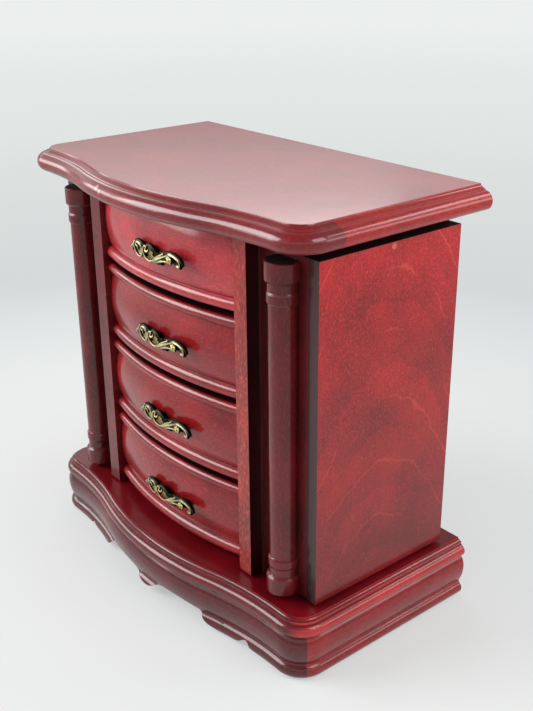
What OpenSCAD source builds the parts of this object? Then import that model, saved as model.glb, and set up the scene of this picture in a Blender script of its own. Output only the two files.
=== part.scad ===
// Vanity and jewellery box with a mirror in the lid, three bow-fronted drawers and two side doors.
// Millimetres, front toward -Y, up is +Z, the floor is at Z = 0 and the middle of the box at X = 0.

/* [Overall size] */
// Width across the lid's moulding
width = 290; // [220:1:400]
// Depth from the flat back to the middle of the swelled front
depth = 167; // [130:1:260]
// Height with the lid shut
height = 287; // [220:1:400]

/* [Serpentine front] */
// Half the width of the swelling part of the front edge
swell_half = 120; // [90:1:124]
// How far the front of the lid and of the base swells forward of the corners
swell = 16; // [4:0.5:30]
// Corner radius of the lid's flat top
lid_corner = 11; // [4:0.5:14]
// Corner radius of the base board's flat top
base_corner = 13; // [4:0.5:17]

/* [Lid] */
// Thickness of the lid
lid_thick = 14.5; // [10:0.5:24]
// How far the lid's moulding stands out from its flat top
lid_edge = 10.35; // [8:0.05:14]
// How far behind the lid's front edge the front moulding meets the side mouldings
lid_seam = 49.5; // [36:0.5:120]

/* [Base] */
// Thickness of the base board
board_thick = 12.5; // [10:0.5:20]
// How far the base board's moulding stands out from its flat top
base_edge = 7.15; // [6:0.05:10]
// How far the base's moulding stands behind the lid's at the front
base_step = 1.25; // [0:0.05:4]
// Height of the plinth under the base board
plinth_height = 31; // [24:0.5:45]
// How far round the corner the front plinth reaches, in degrees
plinth_seam_angle = 60; // [30:1:80]
// Thickness of the plain plinth rail at the back
plinth_back = 12; // [8:0.5:20]
// Height of the plinth's foot bead
foot_bead = 10; // [6:0.5:14]

/* [Cabinet] */
// Half the clear width between the cabinet walls
inner_half = 73; // [50:0.5:90]
// Thickness of the walls and width of the front posts
wall_thick = 11.4; // [8:0.1:16]
// How far the posts' front stands behind the lid's front edge
post_setback = 30.1; // [24:0.1:40]
// Depth of the posts
post_depth = 9.4; // [6:0.1:14]
// How far the cabinet's back stands in from the lid's back edge
back_inset = 13.2; // [8:0.1:20]
// Thickness of the back panel
back_thick = 8; // [5:0.5:14]
// Thickness of the shelves under the drawers
shelf_thick = 3; // [2:0.1:5]
// Thickness of the boards that cover the side cabinets
deck_thick = 7; // [4:0.1:7.4]

/* [Doors] */
// How far the doors' outer face stands in from the lid's side edge
door_inset = 11.3; // [9:0.1:20]
// How far the doors' front stands behind the lid's front edge
door_setback = 41.05; // [34:0.05:54]
// Thickness of the door panels
door_thick = 9; // [6:0.1:12]
// Gap between the base board and the doors
door_low_gap = 2; // [1:0.1:6]
// Gap between the doors and the lid
door_high_gap = 7.85; // [7.5:0.05:20]
// Gap between a door's front panel and the post beside it
door_gap = 0.8; // [0.4:0.1:2]

/* [Columns] */
// How far the columns' centres stand in from the doors' outer faces
column_in = 24.7; // [16:0.1:32]
// How far the columns' centres stand in front of the doors
column_out = 4.75; // [2:0.05:8]
// Radius of the shaft
shaft_r = 8.4; // [6:0.1:10]
// Radius of the rings
column_ring_r = 9.3; // [7:0.1:11]
// Radius of the capital and the base
capital_r = 10.4; // [8:0.1:13]
// Height of the capital and of the base
capital_h = 12.8; // [8:0.1:20]
// Gap between the base board and the columns
column_low_gap = 3.8; // [2:0.1:10]
// Gap between the columns and the lid
column_high_gap = 11; // [8:0.1:30]

/* [Drawers] */
// Gap between the base board and the lowest front
front_low_gap = 5.8; // [3:0.1:10]
// Gap between one front and the next
front_space = 3.5; // [2:0.1:6]
// Gap between the fixed top front and the lid
front_high_gap = 0.3; // [0.3:0.1:2]
// How far the fronts' bow stands behind the lid's front edge
bow_setback = 23.2; // [16:0.1:30]
// Radius of the bow
bow_radius = 264; // [150:1:600]
// Thickness of a front at the middle of its bow
front_thick = 15.3; // [13:0.1:22]
// Radius of the bead along the bottom of a front
bead_low_r = 4.2; // [2:0.1:6]
// Radius of the bead along the top of a front
bead_high_r = 3.5; // [2:0.1:6]
// Radius of the cushioned field between the beads
field_radius = 60; // [30:1:200]
// Thickness of the drawer sides
side_thick = 5; // [3:0.5:8]
// Thickness of the drawer bottoms
bottom_thick = 3; // [2:0.5:5]
// Height of the drawer sides
side_height = 44; // [20:0.5:48]
// Thickness of the felt lining
felt = 1; // [0.5:0.1:2]
// How far a drawer pulls out
drawer_travel = 75; // [40:1:95]

/* [Pulls] */
// Length of a pull
pull_length = 58; // [40:1:80]
// How far the pulls sit from the middle of the fronts
pull_shift = 7; // [-10:0.5:12]
// How far the pulls' middle is above the lower edge of a front
pull_rise = 24.5; // [16:0.5:34]
// Thickness of the pull's ground plate
pull_plate = 1.8; // [1:0.1:3]
// Thickness of the cast scrolls
scroll_r = 1.25; // [0.8:0.05:2]
// Distance between the pull's two studs
stud_pitch = 34; // [24:1:50]
// Radius of the studs
stud_r = 1.6; // [1:0.1:3]
// Radius of the collars that seat the pull on the bowed front
collar_r = 3; // [2:0.1:5]
// How far the collars' flat seats are sunk below the crown of the bow
collar_seat = 1.6; // [1:0.1:4]

/* [Mirror and lining] */
// Width of the mirror
mirror_w = 120; // [80:1:130]
// Height of the mirror, front to back in the shut lid
mirror_h = 82; // [60:1:94]
// Thickness of the mirror
mirror_thick = 2; // [1.5:0.1:4]
// Width of the frame round the mirror
mirror_frame_w = 8; // [5:0.5:12]
// Thickness of the frame round the mirror
mirror_frame_h = 2.6; // [2:0.1:4]
// Number of ring rolls
roll_count = 5; // [3:1:6]
// Radius of a ring roll at its middle
roll_r = 8.6; // [6:0.1:10]
// Height of the padded bed under the rolls
bed_height = 26; // [4:0.5:30]
// Where the divider stands beside the rolls
divider_x = 22; // [0:1:50]
// Thickness of the divider
divider_thick = 3; // [2:0.5:6]

/* [Hinges and hooks] */
// Radius of a hinge knuckle
knuckle_r = 2.2; // [1.5:0.1:3]
// Radius of a hinge pin
pin_r = 0.9; // [0.6:0.05:1.5]
// Thickness of a hinge leaf
leaf_thick = 0.9; // [0.6:0.1:1.5]
// Height of a door hinge
door_hinge_h = 30; // [20:1:50]
// Length of a lid hinge
lid_hinge_l = 34; // [20:1:60]
// Distance of the lid hinges from the middle
lid_hinge_x = 58; // [30:1:90]
// How far the lid hinges' knuckles stay inside the lid's back edge
lid_hinge_in = 0.1; // [0:0.1:1.5]
// Width of a door hinge's leaf on the door
door_leaf_w = 6; // [4:0.5:6.5]
// Width of a door hinge's leaf on the back panel
frame_leaf_w = 9; // [5:0.5:14]
// Width of a lid hinge's leaf under the lid
lid_leaf_w = 6.5; // [4:0.5:8]
// Width of a lid hinge's leaf on the back panel
body_leaf_w = 13; // [6:0.5:16]
// Distance of the lower door hinges from the doors' lower edge
hinge_low_in = 20.5; // [10:0.5:60]
// Distance of the upper door hinges from the doors' upper edge
hinge_high_in = 28.65; // [10:0.05:60]
// Height of the hook rails
rail_height = 12; // [8:0.5:20]
// Thickness of the hook rails
rail_thick = 5; // [3:0.5:8]
// Gap between the hook rails and the boards that cover the side cabinets
rail_drop = 21.5; // [4:0.5:60]
// How far the hook rails end short of the side cabinets' front and back
rail_end = 12; // [4:1:30]
// How far a hook reaches out of its rail
hook_reach = 11; // [8:0.5:14]
// Number of necklace hooks in each side cabinet
hook_count = 5; // [2:1:7]
// Radius of the hook wire
hook_r = 0.9; // [0.6:0.1:1.5]

/* [Clearances] */
// Gap between a drawer front and the posts
front_gap = 0.4; // [0.2:0.05:1]
// Gap between a drawer box and the walls
box_gap = 0.6; // [0.3:0.05:1.5]
// Gap between a drawer bottom and its shelf
run_gap = 0.2; // [0.1:0.05:0.6]
// Gap between a pin and the knuckles round it
pin_gap = 0.05; // [0.01:0.01:0.1]
// Gap between two knuckles
knuckle_gap = 0.3; // [0.2:0.05:0.6]

/* [Hidden] */
$fn = 96;
e = 0.01;
arc_lap = 0.04;
back_y = depth / 2;
floor_z = plinth_height + board_thick;
lid_z = height - lid_thick;
front_edge = -depth / 2;
lid_seam_y = front_edge + lid_seam;
post_front = front_edge + post_setback;
door_front = front_edge + door_setback;
bow_front = front_edge + bow_setback;
front_back = bow_front + front_thick;
door_out = width / 2 - door_inset;
door_low = floor_z + door_low_gap;
door_high = lid_z - door_high_gap;
column_x = door_out - column_in;
column_low = floor_z + column_low_gap;
column_high = lid_z - column_high_gap;
drawer_pitch = (lid_z - front_high_gap - floor_z - front_low_gap + front_space) / 4;
front_height = drawer_pitch - front_space;
hinge_low_z = door_low + hinge_low_in;
hinge_high_z = door_high - hinge_high_in - door_hinge_h;
rail_z = lid_z - deck_thick - rail_drop - rail_height;
lid_w = width / 2 - lid_edge;
lid_y = front_edge + lid_edge + swell;
base_w = width / 2 - base_edge;
base_y = front_edge + base_step + base_edge + swell;
lid_core = lid_corner - 3;
base_core = base_corner - 3;
board_lap = 3;
cab_back = back_y - back_inset;
cab_in = cab_back - back_thick;
wall_out = inner_half + wall_thick;
wall_front = post_front + post_depth;
door_in = door_out - door_thick;
back_half = door_in - 0.5;
door_inner_x = wall_out + door_gap;
door_back_face = door_front + door_thick;
front_half = inner_half - front_gap;
drawn_length = 57;
pull_back = bow_front - 0.3;
seat_y = bow_front + collar_seat;
top_z = lid_z - front_high_gap - front_height;
box_half = inner_half - box_gap;
box_back = cab_in - 3;
shelf_drop = 1.8;
comp_floor_z = top_z + shelf_thick - shelf_drop;
axis_y = cab_back + knuckle_r + 0.3;
axis_z = lid_z - knuckle_r - 0.3;
lid_axis_y = back_y - lid_hinge_in - knuckle_r;
leaf_y = -knuckle_r - 0.3;
door_axis_x = (door_in + back_half) / 2;
pin_hole_r = pin_r + pin_gap;
mirror_y = (cab_in + front_back) / 2;
roll_len = inner_half + divider_x - divider_thick / 2 - 2 * felt - 1;
roll_mid_x = -inner_half + felt + 0.5 + roll_len / 2;
comp_len = cab_in - front_back - 2 * felt;
roll_pitch = (comp_len - 1) / roll_count;

wood = [0.55, 0.16, 0.17];
wood_dark = [0.40, 0.10, 0.11];
wood_in = [0.62, 0.34, 0.24];
velvet = [0.80, 0.72, 0.58];
brass = [0.62, 0.55, 0.36];
glass = [0.80, 0.84, 0.86];

// Angle and radius of the two arcs that make one side of a serpentine front
function swell_angle(b) = 2 * atan(b / swell_half);
function swell_radius(b) = swell_half / (2 * sin(swell_angle(b)));

// Everything inside a serpentine edge, grown by o from the flat edge
module plan(w, y0, b, r, o, yb) {
  a = swell_angle(b);
  rr = swell_radius(b);
  c1 = y0 - b + rr;
  c2 = y0 - rr;
  intersection() {
    translate([-w - o, y0 - b - 40]) square([2 * (w + o), yb - y0 + b + 40]);
    union() {
      intersection() {
        translate([0, c1]) circle(rr + o, $fn = 240);
        polygon([[0, c1], [-2 * rr * sin(a), c1 - 2 * rr * cos(a)], [2 * rr * sin(a), c1 - 2 * rr * cos(a)]]);
      }
      for (s = [-1, 1]) {
        difference() {
          polygon([[0, c1], [s * swell_half, c2], [s * swell_half, c1]]);
          translate([s * swell_half, c2]) circle(rr - o, $fn = 240);
        }
        side_plan(w, y0, r, o, yb, s);
      }
    }
  }
}

// The part of the plan outside the swell, with its round corner
module side_plan(w, y0, r, o, yb, s) {
  x0 = min(swell_half, w - r);
  x1 = w + o;
  mirror([s < 0 ? 1 : 0, 0]) {
    translate([x0, y0 - o]) square([w - r - x0, yb - y0 + o]);
    if (r + o > 0) {
      translate([w - r, y0 + r]) circle(r + o);
      translate([w - r, y0 + r]) square([r + o, yb - y0 - r]);
    }
  }
}

// Part of a moulding on one side of the line between the centres of two arcs
module arc_side(c1, c2, inner) {
  far = 400;
  intersection() {
    children();
    translate([0, 0, -far / 2]) linear_extrude(far) polygon(inner
      ? [[0, c1 + arc_lap], [swell_half, c2 + arc_lap], [-swell_half, c2 + arc_lap]]
      : [[0, c1 - arc_lap], [swell_half, c2 - arc_lap], [swell_half, c1 - arc_lap]]);
  }
}

// The swelled middle of a moulding, from one corner's straight to the other's
module sweep_front(w, y0, b, r) {
  a = ceil(swell_angle(b)) + 4;
  rr = swell_radius(b);
  c1 = y0 - b + rr;
  c2 = y0 - rr;
  arc_side(c1, c2, true) translate([0, c1, 0]) rotate_extrude(angle = 2 * a, start = -90 - a, $fn = 360)
    translate([rr, 0]) children();
  for (s = [0, 1]) mirror([s, 0, 0]) {
    arc_side(c1, c2, false) translate([swell_half, c2, 0]) rotate_extrude(angle = a, start = 90, $fn = 360)
      translate([rr, 0]) mirror([1, 0]) children();
    if (w - r > swell_half) translate([swell_half, y0, 0]) rotate([90, 0, 90])
      linear_extrude(w - r - swell_half) mirror([1, 0]) children();
  }
}

// A quarter turn of moulding round the right corner
module sweep_corner(w, y0, r) {
  translate([w - r, y0 + r, 0]) rotate([0, 0, -90]) rotate_extrude(angle = 90) translate([r, 0]) children();
}

// The part of a corner before the plinth's seam, or after it
module seam_side(w, y0, r, before) {
  t = plinth_seam_angle - 90;
  c = [w - r, y0 + r];
  far = 60;
  intersection() {
    children();
    translate([0, 0, -far]) linear_extrude(3 * far) polygon(before
      ? [c, [c[0] + far * cos(t), c[1] + far * sin(t)], [c[0], c[1] - far]]
      : [c, [c[0] + far * cos(t), c[1] + far * sin(t)], [c[0] + far, c[1] + 0.5], [c[0], c[1] + 0.5]]);
  }
}

// A straight run of moulding along the right side
module sweep_side(w, ya, yb) {
  translate([w, yb, 0]) rotate([90, 0, 0]) linear_extrude(yb - ya) children();
}

// Section of the lid's moulding: arris, cove, fillet and bullnose
module lid_profile(core) {
  difference() {
    union() {
      translate([-core, 0]) square([core + 1, lid_thick]);
      translate([-core, 0]) square([core + 4.4, lid_thick - 1.1]);
      intersection() {
        translate([lid_edge - 5.95, 5.2]) circle(5.95);
        translate([0, 0]) square([20, lid_thick]);
      }
    }
    translate([5.4, lid_thick + 2.7]) circle(5.5);
  }
}

// Section of the base board's moulding
module board_profile(core) {
  difference() {
    union() {
      translate([-core, 0]) square([core + 0.9, board_thick]);
      translate([-core, 0]) square([core + 3.6, board_thick - 0.9]);
      intersection() {
        translate([base_edge - 4.6, 4.2]) circle(4.6);
        translate([0, 0]) square([20, board_thick]);
      }
    }
    translate([4.6, board_thick + 2.1]) circle(4.2);
  }
}

// Section of the plinth: a swelled upper part, a waist and a foot bead
module plinth_profile(core) {
  swell_z = 23.5;
  translate([-core, 0]) square([core + 1.7, plinth_height]);
  translate([-core, foot_bead - 1.4]) square([core + 4.1, swell_z - foot_bead + 1.4]);
  intersection() {
    translate([base_edge - 27.6, swell_z]) circle(27.6, $fn = 240);
    translate([-1, foot_bead]) square([20, swell_z - foot_bead]);
  }
  intersection() {
    translate([base_edge - 11.4, swell_z]) circle(11.4);
    translate([-1, swell_z]) square([20, plinth_height - swell_z]);
  }
  translate([1.7, foot_bead / 2]) circle(foot_bead / 2);
}

// The scallops along the plinth's front, as the shape that is cut away
function scallop_half() = [[0, 6], [4, 6.4], [8, 7.8], [12, 10.2], [16, 12.2], [21, 13.4], [27, 13.6],
  [34, 13.4], [41, 12.8], [47, 12], [52, 11.2], [54, 10.6], [56, 8.8], [59, 6.2], [63, 4], [68, 2.6],
  [74, 2], [80, 1.9], [85, 2.5], [89, 4.2], [92, 6.6], [94.5, 7.3], [96.5, 6.4], [98, 4.2], [99.5, 1.8],
  [101, 0]];
module scallops() {
  h = scallop_half();
  n = len(h);
  translate([0, base_y + base_core + 6, 0]) rotate([90, 0, 0]) linear_extrude(60)
    polygon(concat([for (i = [0 : n - 1]) [h[i][0], h[i][1]]], [[101, -5], [-101, -5]],
      [for (i = [n - 1 : -1 : 1]) [-h[i][0], h[i][1]]]));
}

module plinth_front() {
  color(wood) difference() {
    union() {
      sweep_front(base_w, base_y, swell, base_corner) plinth_profile(base_core);
      for (s = [0, 1]) mirror([s, 0, 0])
        seam_side(base_w, base_y, base_corner, true) sweep_corner(base_w, base_y, base_corner) plinth_profile(base_core);
    }
    scallops();
  }
}

module plinth_side() {
  seam_side(base_w, base_y, base_corner, false) sweep_corner(base_w, base_y, base_corner) plinth_profile(base_core);
  sweep_side(base_w, base_y + base_corner, back_y) plinth_profile(base_core);
}

module plinth_left() {
  color(wood) mirror([1, 0, 0]) plinth_side();
}

module plinth_right() {
  color(wood) plinth_side();
}

module plinth_back() {
  color(wood_dark) translate([-base_w + base_core, back_y - plinth_back, 0])
    cube([2 * (base_w - base_core), plinth_back, plinth_height]);
}

module base_board() {
  color(wood) translate([0, 0, plinth_height]) {
    sweep_front(base_w, base_y, swell, base_corner) board_profile(base_core);
    for (s = [0, 1]) mirror([s, 0, 0]) {
      sweep_corner(base_w, base_y, base_corner) board_profile(base_core);
      sweep_side(base_w, base_y + base_corner, back_y) board_profile(base_core);
    }
    linear_extrude(board_thick) plan(base_w, base_y, swell, base_corner, board_lap - base_core, back_y);
  }
}

module wall_right() {
  color(wood_dark) translate([inner_half, wall_front, floor_z])
    cube([wall_thick, cab_in - wall_front, lid_z - floor_z]);
}

module wall_left() {
  color(wood_dark) translate([-wall_out, wall_front, floor_z])
    cube([wall_thick, cab_in - wall_front, lid_z - floor_z]);
}

// A post with an eased front and a rounded lower end
module post_shape() {
  difference() {
    cube([wall_thick, post_depth, lid_z - floor_z]);
    translate([-1, 0, 0]) rotate([0, 90, 0]) difference() {
      translate([-2.5, -1, 0]) cube([3.5, 3.5, wall_thick + 2]);
      translate([-2.5, 2.5, -1]) cylinder(r = 2.5, h = wall_thick + 4);
    }
  }
}

module post_right() {
  color(wood) translate([inner_half, post_front, floor_z]) post_shape();
}

module post_left() {
  color(wood) translate([-wall_out, post_front, floor_z]) post_shape();
}

module back_panel() {
  color(wood_dark) translate([-back_half, cab_in, floor_z])
    cube([2 * back_half, back_thick, lid_z - floor_z]);
}

module deck_right() {
  color(wood_dark) translate([wall_out, door_back_face + 0.6, lid_z - deck_thick])
    cube([back_half - wall_out, cab_in - door_back_face - 0.6, deck_thick]);
}

module deck_left() {
  color(wood_dark) translate([-back_half, door_back_face + 0.6, lid_z - deck_thick])
    cube([back_half - wall_out, cab_in - door_back_face - 0.6, deck_thick]);
}

function front_z(i) = top_z - (i - 1) * drawer_pitch;

module shelf(i) {
  color(wood_in) translate([-inner_half, wall_front, front_z(i) - shelf_drop])
    cube([2 * inner_half, cab_in - wall_front, shelf_thick]);
}

module shelf_lower() {
  shelf(4);
}

module shelf_middle() {
  shelf(3);
}

module shelf_upper() {
  shelf(2);
}

module compartment_floor() {
  shelf(1);
}

// Section of a drawer front: bead, cushioned field, bead; the radius grows to the right
module front_profile() {
  lo = 2 * bead_low_r + 0.3;
  hi = front_height - 2 * bead_high_r - 0.3;
  reach = front_thick + 7;
  translate([-reach, 0]) square([reach - bead_low_r, front_height]);
  translate([-bead_low_r, bead_low_r]) circle(bead_low_r);
  translate([-bead_high_r, front_height - bead_high_r]) circle(bead_high_r);
  translate([-bead_low_r - 0.5, 0]) square([0.5, lo]);
  translate([-bead_high_r - 1, hi]) square([1, front_height - hi]);
  intersection() {
    translate([-0.5 - field_radius, (lo + hi) / 2]) circle(field_radius, $fn = 240);
    translate([-10, lo]) square([12, hi - lo]);
  }
}

module bow_front_shape(z0) {
  difference() {
    intersection() {
      translate([0, bow_front + bow_radius, z0]) rotate_extrude(angle = 40, start = -110, $fn = 240)
        translate([bow_radius, 0]) front_profile();
      translate([-front_half, bow_front - 5, z0 - 1])
        cube([2 * front_half, front_back - bow_front + 5, front_height + 2]);
    }
    for (s = [-1, 1]) translate([pull_shift + s * stud_pitch / 2, 0, z0 + pull_rise]) rotate([90, 0, 0]) {
      translate([0, 0, -front_back - 1]) cylinder(r = stud_r + pin_gap, h = 30);
      translate([0, 0, -seat_y]) cylinder(r = collar_r + pin_gap, h = 10);
    }
  }
}

// Cast pull: ground plate, two scrolls, leaves, a flower and a turned-down tip
module wire(x, y, r, a0, a1, t) {
  translate([x, y, pull_plate]) rotate([0, 0, a0]) rotate_extrude(angle = a1 - a0) translate([r, 0]) circle(t, $fn = 24);
  translate([x + r * cos(a1), y + r * sin(a1), pull_plate]) sphere(t * 1.35, $fn = 24);
}

module leaf(x, y, a, l, t0, t1) {
  translate([x, y, pull_plate]) rotate([0, 0, a]) rotate([0, 90, 0]) cylinder(r1 = t0, r2 = t1, h = l, $fn = 24);
}

module pull_shape() {
  linear_extrude(pull_plate) polygon([[-26, -3.1], [-27.7, -1.6], [-25.4, 1.2], [-23.6, 4.8], [-19, 6.6],
    [-14, 6.2], [-11.4, 3.8], [-8, 6], [-3, 6.5], [1, 4], [6, 3.6], [12, 5.4], [19, 6.4], [25, 5], [28, 2],
    [28, -1.6], [25.5, -3.8], [22, -2.2], [17, -2.6], [11, -3.2], [7.5, -6], [3, -6.8], [-1, -7.3],
    [-6, -6.7], [-10.5, -4.6], [-14.5, -5.8], [-18.5, -6.7], [-22.4, -4.6], [-24, -2.6]]);
  wire(-18, -0.7, 5.1, 60, 395, scroll_r);
  wire(-18.4, 1.4, 2.3, 60, 330, scroll_r * 0.85);
  wire(-7.7, -0.8, 4.8, 20, 300, scroll_r);
  wire(-7.5, 1.6, 2, 10, 300, scroll_r * 0.85);
  wire(-4.6, 3, 8.4, 225, 292, scroll_r);
  translate([-26.2, -1.4, pull_plate]) sphere(pull_plate - 0.1, $fn = 24);
  leaf(-3.5, -4.8, 30, 14, 1.6, 0.7);
  leaf(-1.6, -1.4, 20, 11, 1.5, 0.6);
  leaf(1.6, -5.2, 14, 12, 1.3, 0.5);
  translate([0.6, -6, pull_plate]) sphere(1.5, $fn = 24);
  for (k = [0 : 5]) translate([17.2 + 2.4 * cos(60 * k), 1.2 + 2.4 * sin(60 * k), pull_plate + 0.4])
    sphere(1.35, $fn = 24);
  translate([17.2, 1.2, 0]) cylinder(r = 1.5, h = pull_plate + 2.2, $fn = 24);
  wire(19.4, -4, 7.2, 26, 82, 1.5);
  translate([drawn_length / 2 - 2, -1.6, pull_plate]) sphere(pull_plate - 0.1, $fn = 24);
}

module pull(i) {
  color(brass) translate([pull_shift, pull_back, front_z(i) + pull_rise]) rotate([90, 0, 0]) {
    scale(pull_length / drawn_length) pull_shape();
    for (s = [-1, 1]) translate([s * stud_pitch / 2, 0, 0]) {
      translate([0, 0, pull_back - seat_y]) cylinder(r = collar_r, h = seat_y - pull_back + e);
      translate([0, 0, -11]) cylinder(r = stud_r, h = 11 + e, $fn = 24);
    }
  }
}

module false_front() {
  color(wood) bow_front_shape(front_z(1));
}

module false_front_pull() {
  pull(1);
}

// Thin open tray of felt that fills a box from corner to corner
module felt_tray(x0, x1, y0, y1, z0, z1) {
  color(velvet) difference() {
    translate([x0, y0, z0]) cube([x1 - x0, y1 - y0, z1 - z0]);
    translate([x0 + felt, y0 + felt, z0 + felt]) cube([x1 - x0 - 2 * felt, y1 - y0 - 2 * felt, z1 - z0]);
  }
}

module compartment_lining() {
  felt_tray(-inner_half, inner_half, front_back, cab_in, comp_floor_z, lid_z - 3);
}

module compartment_divider() {
  color(velvet) translate([divider_x, front_back + felt, comp_floor_z + felt])
    cube([divider_thick, comp_len, 38]);
}

module ring_roll_bed() {
  color(velvet) translate([-inner_half + felt, front_back + felt, comp_floor_z + felt])
    cube([divider_x + inner_half - felt, comp_len, bed_height - roll_r]);
}

// One roll, fuller at its middle and drawn in at its ends
module ring_roll() {
  rotate([0, 90, 0]) rotate_extrude() intersection() {
    square([roll_r, roll_len]);
    union() {
      translate([roll_r - 620, roll_len / 2]) circle(620, $fn = 720);
      square([1, roll_len]);
    }
    union() {
      translate([0, 3]) square([roll_r, roll_len - 6]);
      square([roll_r - 3.6, roll_len]);
      for (z = [3, roll_len - 3]) translate([roll_r - 4.4, z]) circle(3);
    }
  }
}

module ring_rolls() {
  color(velvet) for (k = [0 : roll_count - 1])
    translate([roll_mid_x - roll_len / 2, front_back + felt + 0.5 + roll_pitch * (k + 0.5),
      comp_floor_z + felt + bed_height]) ring_roll();
}

module hook_rail(s) {
  color(wood_dark) translate([s > 0 ? wall_out : -wall_out - rail_thick, door_back_face + rail_end, rail_z])
    cube([rail_thick, cab_in - door_back_face - 2 * rail_end, rail_height]);
}

module hook_rail_left() {
  hook_rail(-1);
}

module hook_rail_right() {
  hook_rail(1);
}

// A wire hook that stands out from the rail and turns up
module hook() {
  bend = 3 * hook_r + 0.3;
  ball = 1.5 * hook_r + 0.05;
  rotate([0, 90, 0]) cylinder(r = hook_r, h = hook_reach - bend, $fn = 24);
  translate([hook_reach - bend, 0, bend]) rotate([90, 0, 0]) rotate_extrude(angle = 90, start = -90)
    translate([bend, 0]) circle(hook_r, $fn = 24);
  translate([hook_reach, 0, bend]) cylinder(r = hook_r, h = 2, $fn = 24);
  translate([hook_reach, 0, bend + 2 + ball / 4]) sphere(ball, $fn = 24);
}

module necklace_hooks(s) {
  first = rail_end + 8;
  span = cab_in - door_back_face - 2 * first;
  color(brass) for (k = [0 : hook_count - 1]) mirror([s > 0 ? 0 : 1, 0, 0])
    translate([wall_out + rail_thick - e, door_back_face + first + span * k / (hook_count - 1),
      rail_z + rail_height / 2 - 1]) hook();
}

module necklace_hooks_left() {
  necklace_hooks(-1);
}

module necklace_hooks_right() {
  necklace_hooks(1);
}

module lid_panel() {
  color(wood) translate([0, 0, lid_z]) difference() {
    linear_extrude(lid_thick) plan(lid_w, lid_y, swell, lid_corner, -lid_core, back_y);
    translate([-mirror_w / 2 - 0.3, mirror_y - mirror_h / 2 - 0.3, -1])
      cube([mirror_w + 0.6, mirror_h + 0.6, mirror_thick + 1]);
  }
}

module lid_moulding_front() {
  color(wood) translate([0, 0, lid_z]) {
    sweep_front(lid_w, lid_y, swell, lid_corner) lid_profile(lid_core);
    for (s = [0, 1]) mirror([s, 0, 0]) {
      sweep_corner(lid_w, lid_y, lid_corner) lid_profile(lid_core);
      sweep_side(lid_w, lid_y + lid_corner, lid_seam_y) lid_profile(lid_core);
    }
  }
}

module lid_moulding_right() {
  color(wood) translate([0, 0, lid_z]) sweep_side(lid_w, lid_seam_y, back_y) lid_profile(lid_core);
}

module lid_moulding_left() {
  color(wood) mirror([1, 0, 0]) translate([0, 0, lid_z])
    sweep_side(lid_w, lid_seam_y, back_y) lid_profile(lid_core);
}

module mirror_plate() {
  color(glass) translate([-mirror_w / 2, mirror_y - mirror_h / 2, lid_z]) cube([mirror_w, mirror_h, mirror_thick]);
}

module mirror_frame() {
  w = mirror_w + 2 * mirror_frame_w - 4;
  h = mirror_h + 2 * mirror_frame_w - 4;
  color(wood) translate([0, mirror_y, lid_z - mirror_frame_h]) difference() {
    translate([-w / 2, -h / 2, 0]) cube([w, h, mirror_frame_h]);
    translate([-mirror_w / 2 + 2, -mirror_h / 2 + 2, -1]) cube([mirror_w - 4, mirror_h - 4, mirror_frame_h + 2]);
    for (m = [0, 1]) mirror([m, 0, 0]) translate([w / 2, -h, 0]) rotate([-90, 0, 0])
      cylinder(r = 1.4, h = 2 * h);
    for (m = [0, 1]) mirror([0, m, 0]) translate([-w, h / 2, 0]) rotate([0, 90, 0])
      cylinder(r = 1.4, h = 2 * w);
  }
}

// Barrels number k0, k0 + 2 and so on of n along a hinge of length l, with the tabs to its leaf
module knuckles(l, n, k0) {
  p = l / n;
  for (k = [k0 : 2 : n - 1]) {
    z0 = k * p + (k == 0 ? 0 : knuckle_gap / 2);
    z1 = (k + 1) * p - (k == n - 1 ? 0 : knuckle_gap / 2);
    translate([0, 0, z0]) difference() {
      union() {
        cylinder(r = knuckle_r, h = z1 - z0, $fn = 48);
        translate([0, leaf_y, 0]) cube([knuckle_r + 0.4, leaf_thick, z1 - z0]);
      }
      translate([0, 0, -1]) cylinder(r = pin_hole_r, h = p + 2, $fn = 48);
    }
  }
}

// Three screw heads along a leaf, standing on the plane Y = 0
module leaf_screws(x, l) {
  for (k = [0 : 2]) translate([x, -e, l * (k + 0.5) / 3])
    rotate([-90, 0, 0]) cylinder(r = 1.5, h = 0.4, $fn = 24);
}

// One leaf: it lies toward +X on the plane Y = leaf_y, with the pin along Z
module hinge_leaf(l, n, k0, w) {
  translate([knuckle_r + 0.3, leaf_y, 0]) cube([w, leaf_thick, l]);
  knuckles(l, n, k0);
  translate([0, leaf_y + leaf_thick, 0]) leaf_screws(knuckle_r + 0.3 + w / 2, l);
}

// A cranked leaf: its plate lies on the plane Y = -reach, and arms bring it out to the first and last barrels
module cranked_leaf(l, w, reach) {
  out = knuckle_r + 0.3;
  difference() {
    union() {
      for (z = [0, l - l / 3 + knuckle_gap / 2]) {
        translate([0, 0, z]) cylinder(r = knuckle_r, h = l / 3 - knuckle_gap / 2, $fn = 48);
        translate([out - leaf_thick, -reach, z]) cube([leaf_thick, reach, l / 3 - knuckle_gap / 2]);
      }
      translate([out - leaf_thick, -reach, 0]) cube([w, leaf_thick, l]);
    }
    translate([0, 0, -1]) cylinder(r = pin_hole_r, h = l + 2, $fn = 48);
  }
  translate([0, leaf_thick - reach, 0]) leaf_screws(out - leaf_thick + w / 2, l);
}

// A hinge pin with a ball at each end
module hinge_pin(l) {
  translate([0, 0, -1.4]) cylinder(r = pin_r, h = l + 2.8, $fn = 48);
  for (z = [-1.6, l + 1.6]) translate([0, 0, z]) sphere(1.4, $fn = 24);
}

module lid_hinge_leaves() {
  color(brass) for (s = [-1, 1]) translate([s * lid_hinge_x - lid_hinge_l / 2, lid_axis_y, axis_z])
    rotate([-90, 0, -90]) hinge_leaf(lid_hinge_l, 3, 1, lid_leaf_w);
}

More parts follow.
